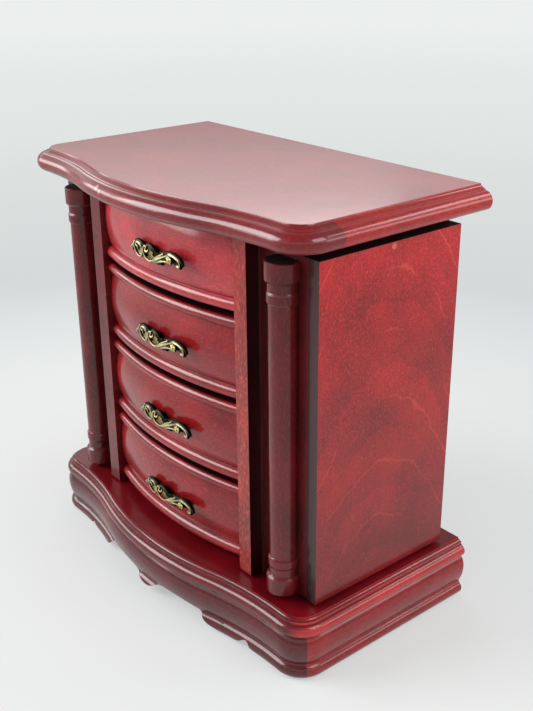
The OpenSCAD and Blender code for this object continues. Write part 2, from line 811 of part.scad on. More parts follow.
module body_hinge_leaves() {
  color(brass) for (s = [-1, 1]) translate([s * lid_hinge_x - lid_hinge_l / 2, lid_axis_y, axis_z])
    rotate([0, 90, 0]) cranked_leaf(lid_hinge_l, body_leaf_w, lid_axis_y - cab_back);
}

module lid_hinge_pins() {
  color(brass) for (s = [-1, 1]) translate([s * lid_hinge_x - lid_hinge_l / 2, lid_axis_y, axis_z])
    rotate([0, 90, 0]) hinge_pin(lid_hinge_l);
}

module door_hinge_leaves() {
  color(brass) for (z = [hinge_low_z, hinge_high_z]) translate([door_axis_x, axis_y, z])
    hinge_leaf(door_hinge_h, 3, 1, door_leaf_w);
}

module door_right_hinge_leaves() {
  door_hinge_leaves();
}

module door_left_hinge_leaves() {
  mirror([1, 0, 0]) door_hinge_leaves();
}

module door_frame_leaves() {
  color(brass) for (m = [0, 1]) mirror([m, 0, 0]) for (z = [hinge_low_z, hinge_high_z])
    translate([door_axis_x, axis_y, z]) mirror([1, 0, 0]) hinge_leaf(door_hinge_h, 3, 0, frame_leaf_w);
}

module door_hinge_pins() {
  color(brass) for (m = [0, 1]) mirror([m, 0, 0]) for (z = [hinge_low_z, hinge_high_z])
    translate([door_axis_x, axis_y, z]) hinge_pin(door_hinge_h);
}

module drawer_box(i) {
  color(wood_in) translate([0, 0, front_z(i) + shelf_thick - shelf_drop + run_gap]) {
    for (s = [-1, 1]) translate([s > 0 ? box_half - side_thick : -box_half, front_back, 0])
      cube([side_thick, box_back - front_back, side_height]);
    translate([-box_half + side_thick, box_back - side_thick, 0])
      cube([2 * (box_half - side_thick), side_thick, side_height]);
  }
}

module drawer_bottom(i) {
  color(wood_in) translate([-box_half + side_thick, front_back, front_z(i) + shelf_thick - shelf_drop + run_gap])
    cube([2 * (box_half - side_thick), box_back - side_thick - front_back, bottom_thick]);
}

module drawer_lining(i) {
  z0 = front_z(i) + shelf_thick - shelf_drop + run_gap + bottom_thick;
  felt_tray(-box_half + side_thick, box_half - side_thick, front_back, box_back - side_thick, z0,
    z0 + side_height - bottom_thick - 4);
}

module drawer_2_front() {
  color(wood) bow_front_shape(front_z(2));
}

module drawer_3_front() {
  color(wood) bow_front_shape(front_z(3));
}

module drawer_4_front() {
  color(wood) bow_front_shape(front_z(4));
}

module drawer_2_box() {
  drawer_box(2);
}

module drawer_3_box() {
  drawer_box(3);
}

module drawer_4_box() {
  drawer_box(4);
}

module drawer_2_bottom() {
  drawer_bottom(2);
}

module drawer_3_bottom() {
  drawer_bottom(3);
}

module drawer_4_bottom() {
  drawer_bottom(4);
}

module drawer_2_lining() {
  drawer_lining(2);
}

module drawer_3_lining() {
  drawer_lining(3);
}

module drawer_4_lining() {
  drawer_lining(4);
}

module drawer_2_pull() {
  pull(2);
}

module drawer_3_pull() {
  pull(3);
}

module drawer_4_pull() {
  pull(4);
}

module door_side() {
  color(wood) translate([door_in, door_front, door_low])
    cube([door_thick, cab_back - door_front, door_high - door_low]);
}

module door_front_panel() {
  color(wood) translate([door_inner_x, door_front, door_low])
    cube([door_in - door_inner_x, door_thick, door_high - door_low]);
}

// Half-round column: base, ring, shaft, ring, capital
module column() {
  h = column_high - column_low;
  c = capital_h;
  n = shaft_r + 0.3;
  half = [[0, 0], [capital_r - 0.6, 0], [capital_r, 0.6], [capital_r, c - 1.8], [capital_r - 1, c - 0.5],
    [n, c], [n, c + 5], [column_ring_r - 0.4, c + 5.4], [column_ring_r, c + 6.4], [column_ring_r, c + 11],
    [column_ring_r - 0.4, c + 12], [shaft_r, c + 12.4]];
  m = len(half);
  color(wood) translate([column_x, door_front - column_out, column_low]) intersection() {
    rotate_extrude() polygon(concat(half, [for (i = [m - 1 : -1 : 0]) [half[i][0], h - half[i][1]]]));
    translate([-20, -20, -1]) cube([40, 20 + column_out, h + 2]);
  }
}

module door_right_side() {
  door_side();
}

module door_left_side() {
  mirror([1, 0, 0]) door_side();
}

module door_right_front() {
  door_front_panel();
}

module door_left_front() {
  mirror([1, 0, 0]) door_front_panel();
}

module door_right_column() {
  column();
}

module door_left_column() {
  mirror([1, 0, 0]) column();
}

plinth_front();
plinth_left();
plinth_right();
plinth_back();
base_board();
wall_left();
wall_right();
post_left();
post_right();
back_panel();
deck_left();
deck_right();
shelf_lower();
shelf_middle();
shelf_upper();
compartment_floor();
false_front();
false_front_pull();
compartment_lining();
compartment_divider();
ring_roll_bed();
ring_rolls();
hook_rail_left();
hook_rail_right();
necklace_hooks_left();
necklace_hooks_right();
lid_panel();
lid_moulding_front();
lid_moulding_left();
lid_moulding_right();
mirror_plate();
mirror_frame();
lid_hinge_leaves();
body_hinge_leaves();
lid_hinge_pins();
drawer_2_front();
drawer_2_box();
drawer_2_bottom();
drawer_2_lining();
drawer_2_pull();
drawer_3_front();
drawer_3_box();
drawer_3_bottom();
drawer_3_lining();
drawer_3_pull();
drawer_4_front();
drawer_4_box();
drawer_4_bottom();
drawer_4_lining();
drawer_4_pull();
door_left_side();
door_left_front();
door_left_column();
door_left_hinge_leaves();
door_right_side();
door_right_front();
door_right_column();
door_right_hinge_leaves();
door_frame_leaves();
door_hinge_pins();
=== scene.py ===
"""Looks of a jewellery box with a lid mirror: red-stained cherry, cast scroll pulls, velvet and brass."""
import math
import bpy
from mathutils import Matrix, Vector, kdtree, noise


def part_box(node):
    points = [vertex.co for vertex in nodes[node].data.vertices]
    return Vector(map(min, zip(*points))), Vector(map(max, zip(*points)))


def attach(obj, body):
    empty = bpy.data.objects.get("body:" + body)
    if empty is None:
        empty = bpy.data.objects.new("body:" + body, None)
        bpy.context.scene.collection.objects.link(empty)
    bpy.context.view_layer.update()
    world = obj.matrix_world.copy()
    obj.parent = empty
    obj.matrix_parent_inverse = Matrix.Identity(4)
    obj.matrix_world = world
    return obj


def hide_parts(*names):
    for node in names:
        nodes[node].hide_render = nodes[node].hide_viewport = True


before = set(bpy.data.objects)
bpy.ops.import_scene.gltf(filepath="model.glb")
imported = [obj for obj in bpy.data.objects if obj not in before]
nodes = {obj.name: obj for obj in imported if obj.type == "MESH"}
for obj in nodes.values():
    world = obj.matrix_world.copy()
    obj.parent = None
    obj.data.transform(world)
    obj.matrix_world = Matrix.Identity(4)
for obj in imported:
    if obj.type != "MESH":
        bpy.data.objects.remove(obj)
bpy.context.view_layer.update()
MM = 0.001
X_AXIS, Y_AXIS, Z_AXIS = 0, 1, 2


def linear(hex_colour):
    """An sRGB hex colour as linear RGBA."""
    channels = [int(hex_colour[i:i + 2], 16) / 255 for i in (1, 3, 5)]
    return [c / 12.92 if c <= 0.04045 else ((c + 0.055) / 1.055) ** 2.4 for c in channels] + [1.0]


def new_material(name):
    """An empty node material and its tree."""
    material = bpy.data.materials.new(name)
    material.use_nodes = True
    material.node_tree.nodes.clear()
    return material, material.node_tree


def add(tree, kind, settings=None, links=None):
    """One node: settings are its properties, links are values or other nodes' outputs, by input."""
    made = tree.nodes.new("ShaderNode" + kind)
    for key, value in (settings or {}).items():
        setattr(made, key, value)
    for key, value in (links or {}).items():
        if isinstance(value, bpy.types.Node):
            value = value.outputs[0]
        if isinstance(value, bpy.types.NodeSocket):
            tree.links.new(value, made.inputs[key])
        else:
            made.inputs[key].default_value = value
    return made


def grain_scale(along, across_mm, along_mm):
    """Mapping scale that makes noise features across_mm wide and along_mm long down one axis, on metres."""
    return [1 / ((along_mm if axis == along else across_mm) * MM) for axis in range(3)]


def feature(size_mm):
    """Noise scale that makes features of that size in every direction, on metres."""
    return 1 / (size_mm * MM)


# The stained wood. Sizes are in mm, and shares are from 0 to 1
COAT, DULL_COAT = 0.85, 0.2
SATIN, DRY = 0.42, 0.8
SWAY, ARRIS = 16, 0.35
STREAK_WIDTH, STREAK_LENGTH, FLECK_WIDTH = 1.7, 50, 0.9
# of these, the undersides' colour is painted shade, not a stain
PORE_STAIN, WORN_STAIN, UNDERSIDE_PAINTED_SHADE, RING_STAIN = "#4a0a10", "#c0504e", "#240406", "#da4c3e"
# the veneer's arches: their middle from the box's middle, how wide they open, their pitch and their waver
ARCH_MIDDLE, ARCH_WIDTH, ARCH_PITCH, ARCH_WAVER = 18, 64, 41, 16
# where the painted light starts and ends above the floor: the wood is darker below and paler above
PAINTED_LIGHT_FROM, PAINTED_LIGHT_TO = 60, 260


def swayed(tree, place):
    """The place on the wood pushed a little to and fro, as grain wanders in a board."""
    sway = add(tree, "TexNoise", None, {"Vector": place, "Scale": feature(71.4), "Detail": 2})
    push = add(tree, "VectorMath", {"operation": "SCALE"}, {0: sway.outputs["Color"], "Scale": SWAY * MM})
    return add(tree, "VectorMath", {"operation": "ADD"}, {0: place, 1: push}).outputs[0]


def veneer_arches(tree, colour, strength, place, bent, clouds, facing):
    """Arches one over another, as rotary veneer shows where the knife ran flat through the rings."""
    across = add(tree, "SeparateXYZ", None, {0: bent})
    aside = add(tree, "Math", {"operation": "SUBTRACT"}, {0: across.outputs["Y"], 1: ARCH_MIDDLE * MM})
    drop = add(tree, "Math", {"operation": "POWER"}, {0: aside, 1: 2.0})
    arch = add(tree, "Math", {"operation": "MULTIPLY_ADD"},
               {0: drop, 1: 1 / (ARCH_WIDTH * MM), 2: across.outputs["Z"]})
    waver = add(tree, "TexNoise", None,
                {"Vector": place, "Scale": feature(18.2), "Detail": 3, "Roughness": 0.6})
    wavy = add(tree, "Math", {"operation": "MULTIPLY_ADD"},
               {0: waver.outputs["Fac"], 1: ARCH_WAVER * MM, 2: arch})
    levels = add(tree, "Math", {"operation": "DIVIDE"}, {0: wavy, 1: ARCH_PITCH * MM})
    level = add(tree, "Math", {"operation": "FRACT"}, {0: levels})
    away = add(tree, "Math", {"operation": "SUBTRACT"}, {0: level, 1: 0.5})
    distance = add(tree, "Math", {"operation": "ABSOLUTE"}, {0: away})
    line = add(tree, "MapRange", None, {0: distance, 1: 0.0, 2: 0.035, 3: strength, 4: 0.0})
    fade = add(tree, "MapRange", None, {0: clouds.outputs["Fac"], 1: 0.44, 2: 0.58})
    faded = add(tree, "Math", {"operation": "MULTIPLY"}, {0: line, 1: fade})
    # the arches are only on the panel's two broad faces
    sideways = add(tree, "Math", {"operation": "ABSOLUTE"}, {0: facing.outputs["X"]})
    broad = add(tree, "MapRange", None, {0: sideways, 1: 0.9, 2: 0.98})
    shown = add(tree, "Math", {"operation": "MULTIPLY"}, {0: faded, 1: broad})
    band = add(tree, "MapRange", None, {0: away, 1: -0.5, 2: 0.5, 3: 0.9, 4: 1.08})
    banded = add(tree, "VectorMath", {"operation": "SCALE"}, {0: colour, "Scale": band})
    ringed = add(tree, "Mix", {"data_type": "RGBA"}, {0: shown, 6: banded, 7: linear(RING_STAIN)})
    return ringed.outputs[2]


def knocked(tree, colour, marks, place, flecks):
    """Knocks and small knots with ragged edges, each given by its place and radius in mm and its colour."""
    for spot, radius, tint in marks:
        reach = add(tree, "VectorMath", {"operation": "DISTANCE"}, {0: place, 1: [c * MM for c in spot]})
        ragged = add(tree, "Math", {"operation": "MULTIPLY_ADD"},
                     {0: flecks.outputs["Fac"], 1: 2 * MM, 2: reach.outputs["Value"]})
        hit = add(tree, "MapRange", None,
                  {0: ragged, 1: (radius + 1) * MM, 2: (0.6 * radius + 1) * MM, 3: 0.0, 4: 0.8})
        colour = add(tree, "Mix", {"data_type": "RGBA"}, {0: hit, 6: colour, 7: linear(tint)}).outputs[2]
    return colour


# Cherry with a wine-red wiping stain under satin sprayed lacquer. The stain clouds between brick red and
# wine, short paler flecks, dark pores and soft streaks follow the grain, and the arrises are rubbed pale.
# Faces may have their own colours: flank those towards the box's ends, top the level ones, front the forward
# ones, end the upper end grain and under the undersides. under is painted shade, and so are flank on the
# right post's side and top in the gaps between the drawer fronts; end is black stain and painted shade from
# the lid above. rings draws a veneer's arches, rise paints light, darker low down and paler towards the top,
# and marks are knocks and knots
def stained_cherry(name, along, light, dark, streak=0.3, fleck="#c2302c", mottle=3.4, rings=0.0, rise=0.0,
                   marks=(), flank=None, top=None, front=None, end=None, under=False, dull_top=False):
    material, tree = new_material(name)
    where = add(tree, "TexCoord")
    place = where.outputs["Object"]
    facing = add(tree, "SeparateXYZ", None, {0: where.outputs["Normal"]})
    bent = swayed(tree, place)
    clouds = add(tree, "TexNoise", None,
                 {"Vector": bent, "Scale": feature(38.5), "Detail": 4, "Roughness": 0.55})
    streak_scale = grain_scale(along, STREAK_WIDTH, STREAK_LENGTH)
    streak_place = add(tree, "Mapping", None, {"Vector": bent, "Scale": streak_scale})
    streaks = add(tree, "TexNoise", None,
                  {"Vector": streak_place, "Scale": 1, "Detail": 4, "Roughness": 0.6})
    weighed = add(tree, "Math", {"operation": "MULTIPLY_ADD"},
                  {0: streaks.outputs["Fac"], 1: streak, 2: -streak / 2})
    tone = add(tree, "Math", {"operation": "ADD"}, {0: clouds.outputs["Fac"], 1: weighed})
    spread = add(tree, "MapRange", None, {0: tone, 1: 0.31, 2: 0.73})
    stain = add(tree, "Mix", {"data_type": "RGBA"}, {0: spread, 6: linear(dark), 7: linear(light)})
    fleck_scale = grain_scale(along, FLECK_WIDTH, mottle)
    fleck_place = add(tree, "Mapping", None, {"Vector": bent, "Scale": fleck_scale})
    flecks = add(tree, "TexNoise", None, {"Vector": fleck_place, "Scale": 1, "Detail": 1})
    fleck_mask = add(tree, "MapRange", None, {0: flecks.outputs["Fac"], 1: 0.52, 2: 0.72, 3: 0.0, 4: 0.38})
    flecked = add(tree, "Mix", {"data_type": "RGBA"},
                  {0: fleck_mask, 6: stain.outputs[2], 7: linear(fleck)})
    pore_mask = add(tree, "MapRange", None, {0: flecks.outputs["Fac"], 1: 0.40, 2: 0.27, 3: 0.0, 4: 0.4})
    pored = add(tree, "Mix", {"data_type": "RGBA"},
                {0: pore_mask, 6: flecked.outputs[2], 7: linear(PORE_STAIN)})
    colour = pored.outputs[2]
    # faces towards the box's ends take the flank colours; on the right post these are painted shade
    if flank:
        sideways = add(tree, "Math", {"operation": "ABSOLUTE"}, {0: facing.outputs["X"]})
        turned = add(tree, "MapRange", None, {0: sideways, 1: 0.35, 2: 0.75})
        ends = add(tree, "Mix", {"data_type": "RGBA"},
                   {0: spread, 6: linear(flank[1]), 7: linear(flank[0])})
        colour = add(tree, "Mix", {"data_type": "RGBA"},
                     {0: turned, 6: colour, 7: ends.outputs[2]}).outputs[2]
    # level faces take the top colours; on the drawer fronts these are painted shade in the gaps
    if top:
        level = add(tree, "MapRange", None, {0: facing.outputs["Z"], 1: 0.985, 2: 0.995})
        panel = add(tree, "Mix", {"data_type": "RGBA"}, {0: spread, 6: linear(top[1]), 7: linear(top[0])})
        colour = add(tree, "Mix", {"data_type": "RGBA"},
                     {0: level, 6: colour, 7: panel.outputs[2]}).outputs[2]
    if rings:
        colour = veneer_arches(tree, colour, rings, place, bent, clouds, facing)
    if front:
        forward = add(tree, "MapRange", None, {0: facing.outputs["Y"], 1: -0.8, 2: -0.95})
        colour = add(tree, "Mix", {"data_type": "RGBA"},
                     {0: forward, 6: colour, 7: linear(front)}).outputs[2]
    # painted light: the wood turns darker low down and paler towards the top
    if rise:
        height = add(tree, "SeparateXYZ", None, {0: place})
        painted_light_gain = add(tree, "MapRange", None,
                   {0: height.outputs["Z"], 1: PAINTED_LIGHT_FROM * MM, 2: PAINTED_LIGHT_TO * MM, 3: 1 - rise, 4: 1 + rise})
        colour = add(tree, "VectorMath", {"operation": "SCALE"}, {0: colour, "Scale": painted_light_gain}).outputs[0]
    colour = knocked(tree, colour, marks, place, flecks)
    # handling thins the stain along every arris, which the bevel node finds and also rounds a little
    soft = add(tree, "Bevel", {"samples": 6}, {"Radius": ARRIS * MM})
    flat = add(tree, "NewGeometry").outputs["Normal"]
    turn = add(tree, "VectorMath", {"operation": "DOT_PRODUCT"}, {0: soft, 1: flat})
    worn = add(tree, "MapRange", None, {0: turn.outputs["Value"], 1: 0.97, 2: 0.75, 3: 0.0, 4: 0.55})
    colour = add(tree, "Mix", {"data_type": "RGBA"}, {0: worn, 6: colour, 7: linear(WORN_STAIN)}).outputs[2]
    # painted shade: faces that look down are turned near black
    if under:
        low = add(tree, "MapRange", None, {0: facing.outputs["Z"], 1: -0.45, 2: -0.85})
        colour = add(tree, "Mix", {"data_type": "RGBA"},
                     {0: low, 6: colour, 7: linear(UNDERSIDE_PAINTED_SHADE)}).outputs[2]
    coat, rough = COAT, SATIN
    if end:
        # the sawn top took the stain black and was left dry; the black is also painted shade from the lid
        # above
        sawn = add(tree, "MapRange", None, {0: facing.outputs["Z"], 1: 0.8, 2: 0.9})
        colour = add(tree, "Mix", {"data_type": "RGBA"}, {0: sawn, 6: colour, 7: linear(end)}).outputs[2]
        coat = add(tree, "MapRange", None, {0: facing.outputs["Z"], 1: 0.8, 2: 0.9, 3: COAT, 4: 0.0})
        rough = add(tree, "MapRange", None, {0: facing.outputs["Z"], 1: 0.8, 2: 0.9, 3: SATIN, 4: DRY})
    if dull_top:
        # the level floor of the base got little lacquer
        coat = add(tree, "MapRange", None,
                   {0: facing.outputs["Z"], 1: 0.985, 2: 0.995, 3: COAT, 4: DULL_COAT})
    ripple = add(tree, "TexNoise", None, {"Vector": place, "Scale": feature(2.63), "Detail": 1})
    relief = add(tree, "Math", {"operation": "MULTIPLY_ADD"},
                 {0: pore_mask, 1: -0.7, 2: ripple.outputs["Fac"]})
    bump = add(tree, "Bump", None,
               {"Height": relief, "Distance": 0.06 * MM, "Strength": 0.3, "Normal": soft})
    shader = add(tree, "BsdfPrincipled", None, {
        "Base Color": colour, "Roughness": rough, "IOR": 1.5, "Normal": bump,
        "Specular IOR Level": 0.22, "Coat Weight": coat, "Coat Roughness": 0.13, "Coat IOR": 1.5})
    add(tree, "OutputMaterial", None, {"Surface": shader})
    return material


# Bare hardwood, wiped with a brown stain: dull, with open grain
def wiped_wood(name, along, light, dark):
    material, tree = new_material(name)
    place = add(tree, "TexCoord").outputs["Object"]
    streak_place = add(tree, "Mapping", None, {"Vector": place, "Scale": grain_scale(along, 1.8, 45)})
    streaks = add(tree, "TexNoise", None,
                  {"Vector": streak_place, "Scale": 1, "Detail": 6, "Distortion": 0.5})
    pore_place = add(tree, "Mapping", None, {"Vector": place, "Scale": grain_scale(along, 0.6, 6)})
    pores = add(tree, "TexNoise", None, {"Vector": pore_place, "Scale": 1, "Detail": 2})
    spread = add(tree, "MapRange", None, {0: streaks.outputs["Fac"], 1: 0.3, 2: 0.7})
    stain = add(tree, "Mix", {"data_type": "RGBA"}, {0: spread, 6: linear(dark), 7: linear(light)})
    mask = add(tree, "MapRange", None, {0: pores.outputs["Fac"], 1: 0.58, 2: 0.74, 3: 0.0, 4: 0.5})
    pored = add(tree, "Mix", {"data_type": "RGBA"}, {0: mask, 6: stain.outputs[2], 7: linear("#2c130c")})
    bump = add(tree, "Bump", None, {"Height": mask, "Distance": 0.08 * MM, "Strength": -0.5})
    shader = add(tree, "BsdfPrincipled", None, {
        "Base Color": pored.outputs[2], "Roughness": 0.55, "IOR": 1.5, "Normal": bump})
    add(tree, "OutputMaterial", None, {"Surface": shader})
    return material


# Short-pile velvet: a soft bright edge, and patches where the nap lies the other way
def champagne_velvet():
    material, tree = new_material("champagne_velvet")
    place = add(tree, "TexCoord").outputs["Object"]
    nap = add(tree, "TexNoise", None,
              {"Vector": place, "Scale": feature(14.3), "Detail": 3, "Distortion": 1.2})
    pile = add(tree, "TexNoise", None, {"Vector": place, "Scale": feature(0.625), "Detail": 1})
    lie = add(tree, "MapRange", None, {0: nap.outputs["Fac"], 1: 0.35, 2: 0.65})
    colour = add(tree, "Mix", {"data_type": "RGBA"}, {0: lie, 6: linear("#a08a66"), 7: linear("#c9b48c")})
    bump = add(tree, "Bump", None, {"Height": pile, "Distance": 0.25 * MM, "Strength": 0.6})
    shader = add(tree, "BsdfPrincipled", None, {
        "Base Color": colour.outputs[2], "Roughness": 0.95, "Normal": bump,
        "Sheen Weight": 0.6, "Sheen Roughness": 0.35, "Sheen Tint": linear("#f0e2c4")})
    add(tree, "OutputMaterial", None, {"Surface": shader})
    return material


# Cast zinc plated in brass, blackened and rubbed back: pale gold where it faces out, near black on its
# walls, and a yellower lacquered gilt on the flower. The rubbed attribute holds how far the black has gone
def antique_brass():
    material, tree = new_material("antique_brass_casting")
    rubbed = add(tree, "Attribute", {"attribute_name": "rubbed"})
    place = add(tree, "TexCoord").outputs["Object"]
    grit = add(tree, "TexNoise", None, {"Vector": place, "Scale": feature(1.11), "Detail": 3})
    uneven = add(tree, "Math", {"operation": "MULTIPLY_ADD"}, {0: grit.outputs["Fac"], 1: 0.24, 2: -0.12})
    shown = add(tree, "Math", {"operation": "ADD", "use_clamp": True}, {0: rubbed.outputs["Fac"], 1: uneven})
    ramp = add(tree, "ValToRGB", None, {"Fac": shown})
    stops = ramp.color_ramp.elements
    stops[0].color, stops[0].position = linear("#17140f"), 0.12
    stops[1].color, stops[1].position = linear("#e6bf45"), 1.0
    for at, tint in ((0.4, "#443e2c"), (0.66, "#a69b78"), (0.82, "#dad0ac"), (0.92, "#dcc468")):
        stops.new(at).color = linear(tint)
    dull = add(tree, "MapRange", None, {0: shown, 1: 0.1, 2: 0.8, 3: 0.6, 4: 0.36})
    bump = add(tree, "Bump", None, {"Height": grit, "Distance": 0.04 * MM, "Strength": 0.4})
    shader = add(tree, "BsdfPrincipled", None, {
        "Base Color": ramp, "Metallic": 1.0, "Roughness": dull, "Normal": bump})
    add(tree, "OutputMaterial", None, {"Surface": shader})
    return material


# Rolled and plated brass for hinges, pins and hooks: bright, with faint rolling marks and handling haze
def plated_brass():
    material, tree = new_material("plated_brass")
    place = add(tree, "TexCoord").outputs["Object"]
    haze = add(tree, "TexNoise", None, {"Vector": place, "Scale": feature(3.33), "Detail": 4})
    marks_place = add(tree, "Mapping", None, {"Vector": place, "Scale": grain_scale(Z_AXIS, 0.4, 8)})
    marks = add(tree, "TexNoise", None, {"Vector": marks_place, "Scale": 1, "Detail": 2})
    colour = add(tree, "Mix", {"data_type": "RGBA"},
                 {0: haze.outputs["Fac"], 6: linear("#c79a4a"), 7: linear("#e0bf72")})
    dull = add(tree, "MapRange", None, {0: haze.outputs["Fac"], 1: 0.3, 2: 0.7, 3: 0.22, 4: 0.36})
    bump = add(tree, "Bump", None, {"Height": marks, "Distance": 0.02 * MM, "Strength": 0.4})
    shader = add(tree, "BsdfPrincipled", None, {
        "Base Color": colour.outputs[2], "Metallic": 1.0, "Roughness": dull, "Normal": bump})
    add(tree, "OutputMaterial", None, {"Surface": shader})
    return material


# Silvered float glass: a near perfect mirror with the faint green of the glass in front of it
def silvered_glass():
    material, tree = new_material("silvered_glass")
    place = add(tree, "TexCoord").outputs["Object"]
    haze = add(tree, "TexNoise", None, {"Vector": place, "Scale": feature(16.7), "Detail": 3})
    dull = add(tree, "MapRange", None, {0: haze.outputs["Fac"], 1: 0.4, 2: 0.8, 3: 0.012, 4: 0.05})
    colour = add(tree, "Mix", {"data_type": "RGBA"},
                 {0: haze.outputs["Fac"], 6: linear("#dfe7e4"), 7: linear("#eef2f0")})
    shader = add(tree, "BsdfPrincipled", None, {
        "Base Color": colour.outputs[2], "Metallic": 1.0, "Roughness": dull, "Coat Weight": 1.0,
        "Coat Roughness": 0.01})
    add(tree, "OutputMaterial", None, {"Surface": shader})
    return material


# Each wood's paler and darker stain, and last the door side's front edge and the black of dry end grain,
# which is also painted shade under the lid
LID_STAIN = ("#a4191e", "#861016")
LID_EDGE_STAIN = ("#86121a", "#640a12")
LID_STRIP_STAIN = ("#b01414", "#8e0b0d")
VENEER_STAIN = ("#ac1619", "#7c0c13")
# the top front's stain is paler than the other fronts': partly its own tone, partly painted light
TOP_FRONT_STAIN_AND_LIGHT = ("#c0333c", "#8c1a24")
DRAWER_STAIN = ("#981219", "#6c080e")
UPRIGHT_STAIN = ("#a81a18", "#780c0d")
RIGHT_POST_STAIN = ("#a41816", "#6c0a0c")
# the left post's stain, darker than the right post's as painted shade
LEFT_POST_STAIN_AND_SHADE = ("#6e1015", "#4c080d")
COLUMN_STAIN = ("#700d12", "#4c060a")
DOOR_FRONT_STAIN = ("#620a10", "#3e0509")
APRON_STAIN = ("#5e0a12", "#43060c")
BASE_STAIN = ("#6c0a12", "#4e050b")
BASE_FLANK_STAIN = ("#ca3034", "#a41c1e")
BASE_TOP_STAIN = ("#7c0615", "#5c020d")
PLINTH_SIDE_STAIN = ("#9e1518", "#780c10")
# painted shade, near black, on the right post's side face
POST_SIDE_PAINTED_SHADE = ("#36070b", "#220508")
# painted shade on the drawer fronts' top edges, so the gaps between them fall dark
GAP_PAINTED_SHADE = ("#30060a", "#200407")
DOOR_EDGE = "#34080e"
BLACK_END_AND_SHADE = "#120808"
# knocks that show: place in mm, radius and colour
LID_DENTS = (((-63, 1, 287), 1.2, "#4a1a1c"), ((-46, 25, 287), 1.6, "#5a2224"),
             ((47, -12, 287), 1.3, "#5e2426"))
LID_EDGE_CHIPS = (((-27, -80.5, 281), 2.4, "#d89a96"), ((-22, -81.5, 279.5), 1.7, "#d08a86"))
VENEER_KNOTS = (((134, 14, 262), 2.2, "#e0705c"),)

lid_wood = stained_cherry("stained_cherry_lid", X_AXIS, *LID_STAIN, streak=0.25, fleck="#b8302e",
                          marks=LID_DENTS)
lid_edge_wood = stained_cherry("stained_cherry_lid_moulding", X_AXIS, *LID_EDGE_STAIN, streak=0.2,
                               fleck="#a8282a", top=LID_STAIN, marks=LID_EDGE_CHIPS)
strip_wood = stained_cherry("stained_cherry_lid_strip", Y_AXIS, *LID_STRIP_STAIN, fleck="#d03a2e",
                            top=LID_STAIN)
# the door sides carry painted light, paler towards the top
veneer = stained_cherry("rotary_cherry_veneer", Z_AXIS, *VENEER_STAIN, fleck="#d2443a", mottle=1.5,
                        rings=0.4, rise=0.36, marks=VENEER_KNOTS, front=DOOR_EDGE, end=BLACK_END_AND_SHADE)
top_front_wood = stained_cherry("stained_cherry_top_drawer_painted_light", X_AXIS, *TOP_FRONT_STAIN_AND_LIGHT, fleck="#dc4a44",
                                mottle=2.0, top=GAP_PAINTED_SHADE, under=True)
front_wood = stained_cherry("stained_cherry_drawer", X_AXIS, *DRAWER_STAIN, mottle=2.2, top=GAP_PAINTED_SHADE,
                            under=True)
upright_wood = stained_cherry("stained_cherry_upright", Z_AXIS, *UPRIGHT_STAIN, fleck="#d04a34")
right_post_wood = stained_cherry("stained_cherry_right_post", Z_AXIS, *RIGHT_POST_STAIN, fleck="#e8683c",
                                 flank=POST_SIDE_PAINTED_SHADE)
post_wood = stained_cherry("stained_cherry_left_post_painted_shade", Z_AXIS, *LEFT_POST_STAIN_AND_SHADE, fleck="#96302a")
column_wood = stained_cherry("stained_cherry_column", Z_AXIS, *COLUMN_STAIN, fleck="#8c2426", end=BLACK_END_AND_SHADE)
door_wood = stained_cherry("stained_cherry_door_front", Z_AXIS, *DOOR_FRONT_STAIN, fleck="#7a2022",
                           end=BLACK_END_AND_SHADE)
apron_wood = stained_cherry("stained_cherry_apron", X_AXIS, *APRON_STAIN, fleck="#842028", under=True)
base_wood = stained_cherry("stained_cherry_base", X_AXIS, *BASE_STAIN, fleck="#902428",
                           flank=BASE_FLANK_STAIN, top=BASE_TOP_STAIN, dull_top=True, under=True)
side_wood = stained_cherry("stained_cherry_plinth_side", Y_AXIS, *PLINTH_SIDE_STAIN, fleck="#b83230",
                           under=True)
inner_wood_x = wiped_wood("wiped_cherry_boards", X_AXIS, "#7a3c2c", "#54261a")
inner_wood_z = wiped_wood("wiped_cherry_uprights", Z_AXIS, "#7c3a30", "#561f1a")
velvet = champagne_velvet()
cast_brass = antique_brass()
hinge_brass = plated_brass()
glass = silvered_glass()

FINISHES = {
    lid_wood: ["lid_panel"],
    lid_edge_wood: ["lid_moulding_front"],
    strip_wood: ["lid_moulding_left", "lid_moulding_right"],
    veneer: ["door_left_side", "door_right_side"],
    top_front_wood: ["false_front"],
    front_wood: ["drawer_2_front", "drawer_3_front", "drawer_4_front"],
    upright_wood: ["mirror_frame", "hook_rail_left", "hook_rail_right"],
    right_post_wood: ["post_right"],
    post_wood: ["post_left"],
    column_wood: ["door_left_column", "door_right_column"],
    door_wood: ["door_left_front", "door_right_front"],
    base_wood: ["base_board", "plinth_back", "deck_left", "deck_right"],
    apron_wood: ["plinth_front"],
    side_wood: ["plinth_left", "plinth_right"],
    inner_wood_x: ["shelf_lower", "shelf_middle", "shelf_upper", "compartment_floor", "drawer_2_box",
                   "drawer_3_box", "drawer_4_box", "drawer_2_bottom", "drawer_3_bottom", "drawer_4_bottom"],
    inner_wood_z: ["wall_left", "wall_right", "back_panel"],
    velvet: ["compartment_lining", "compartment_divider", "ring_roll_bed", "ring_rolls", "drawer_2_lining",
             "drawer_3_lining", "drawer_4_lining"],
    cast_brass: ["false_front_pull", "drawer_2_pull", "drawer_3_pull", "drawer_4_pull"],
    hinge_brass: ["lid_hinge_leaves", "body_hinge_leaves", "lid_hinge_pins", "door_left_hinge_leaves",
                  "door_right_hinge_leaves", "door_frame_leaves", "door_hinge_pins",
                  "necklace_hooks_left", "necklace_hooks_right"],
    glass: ["mirror_plate"],
}
for finish, names in FINISHES.items():
    for name in names:
        nodes[name].data.materials.clear()
        nodes[name].data.materials.append(finish)


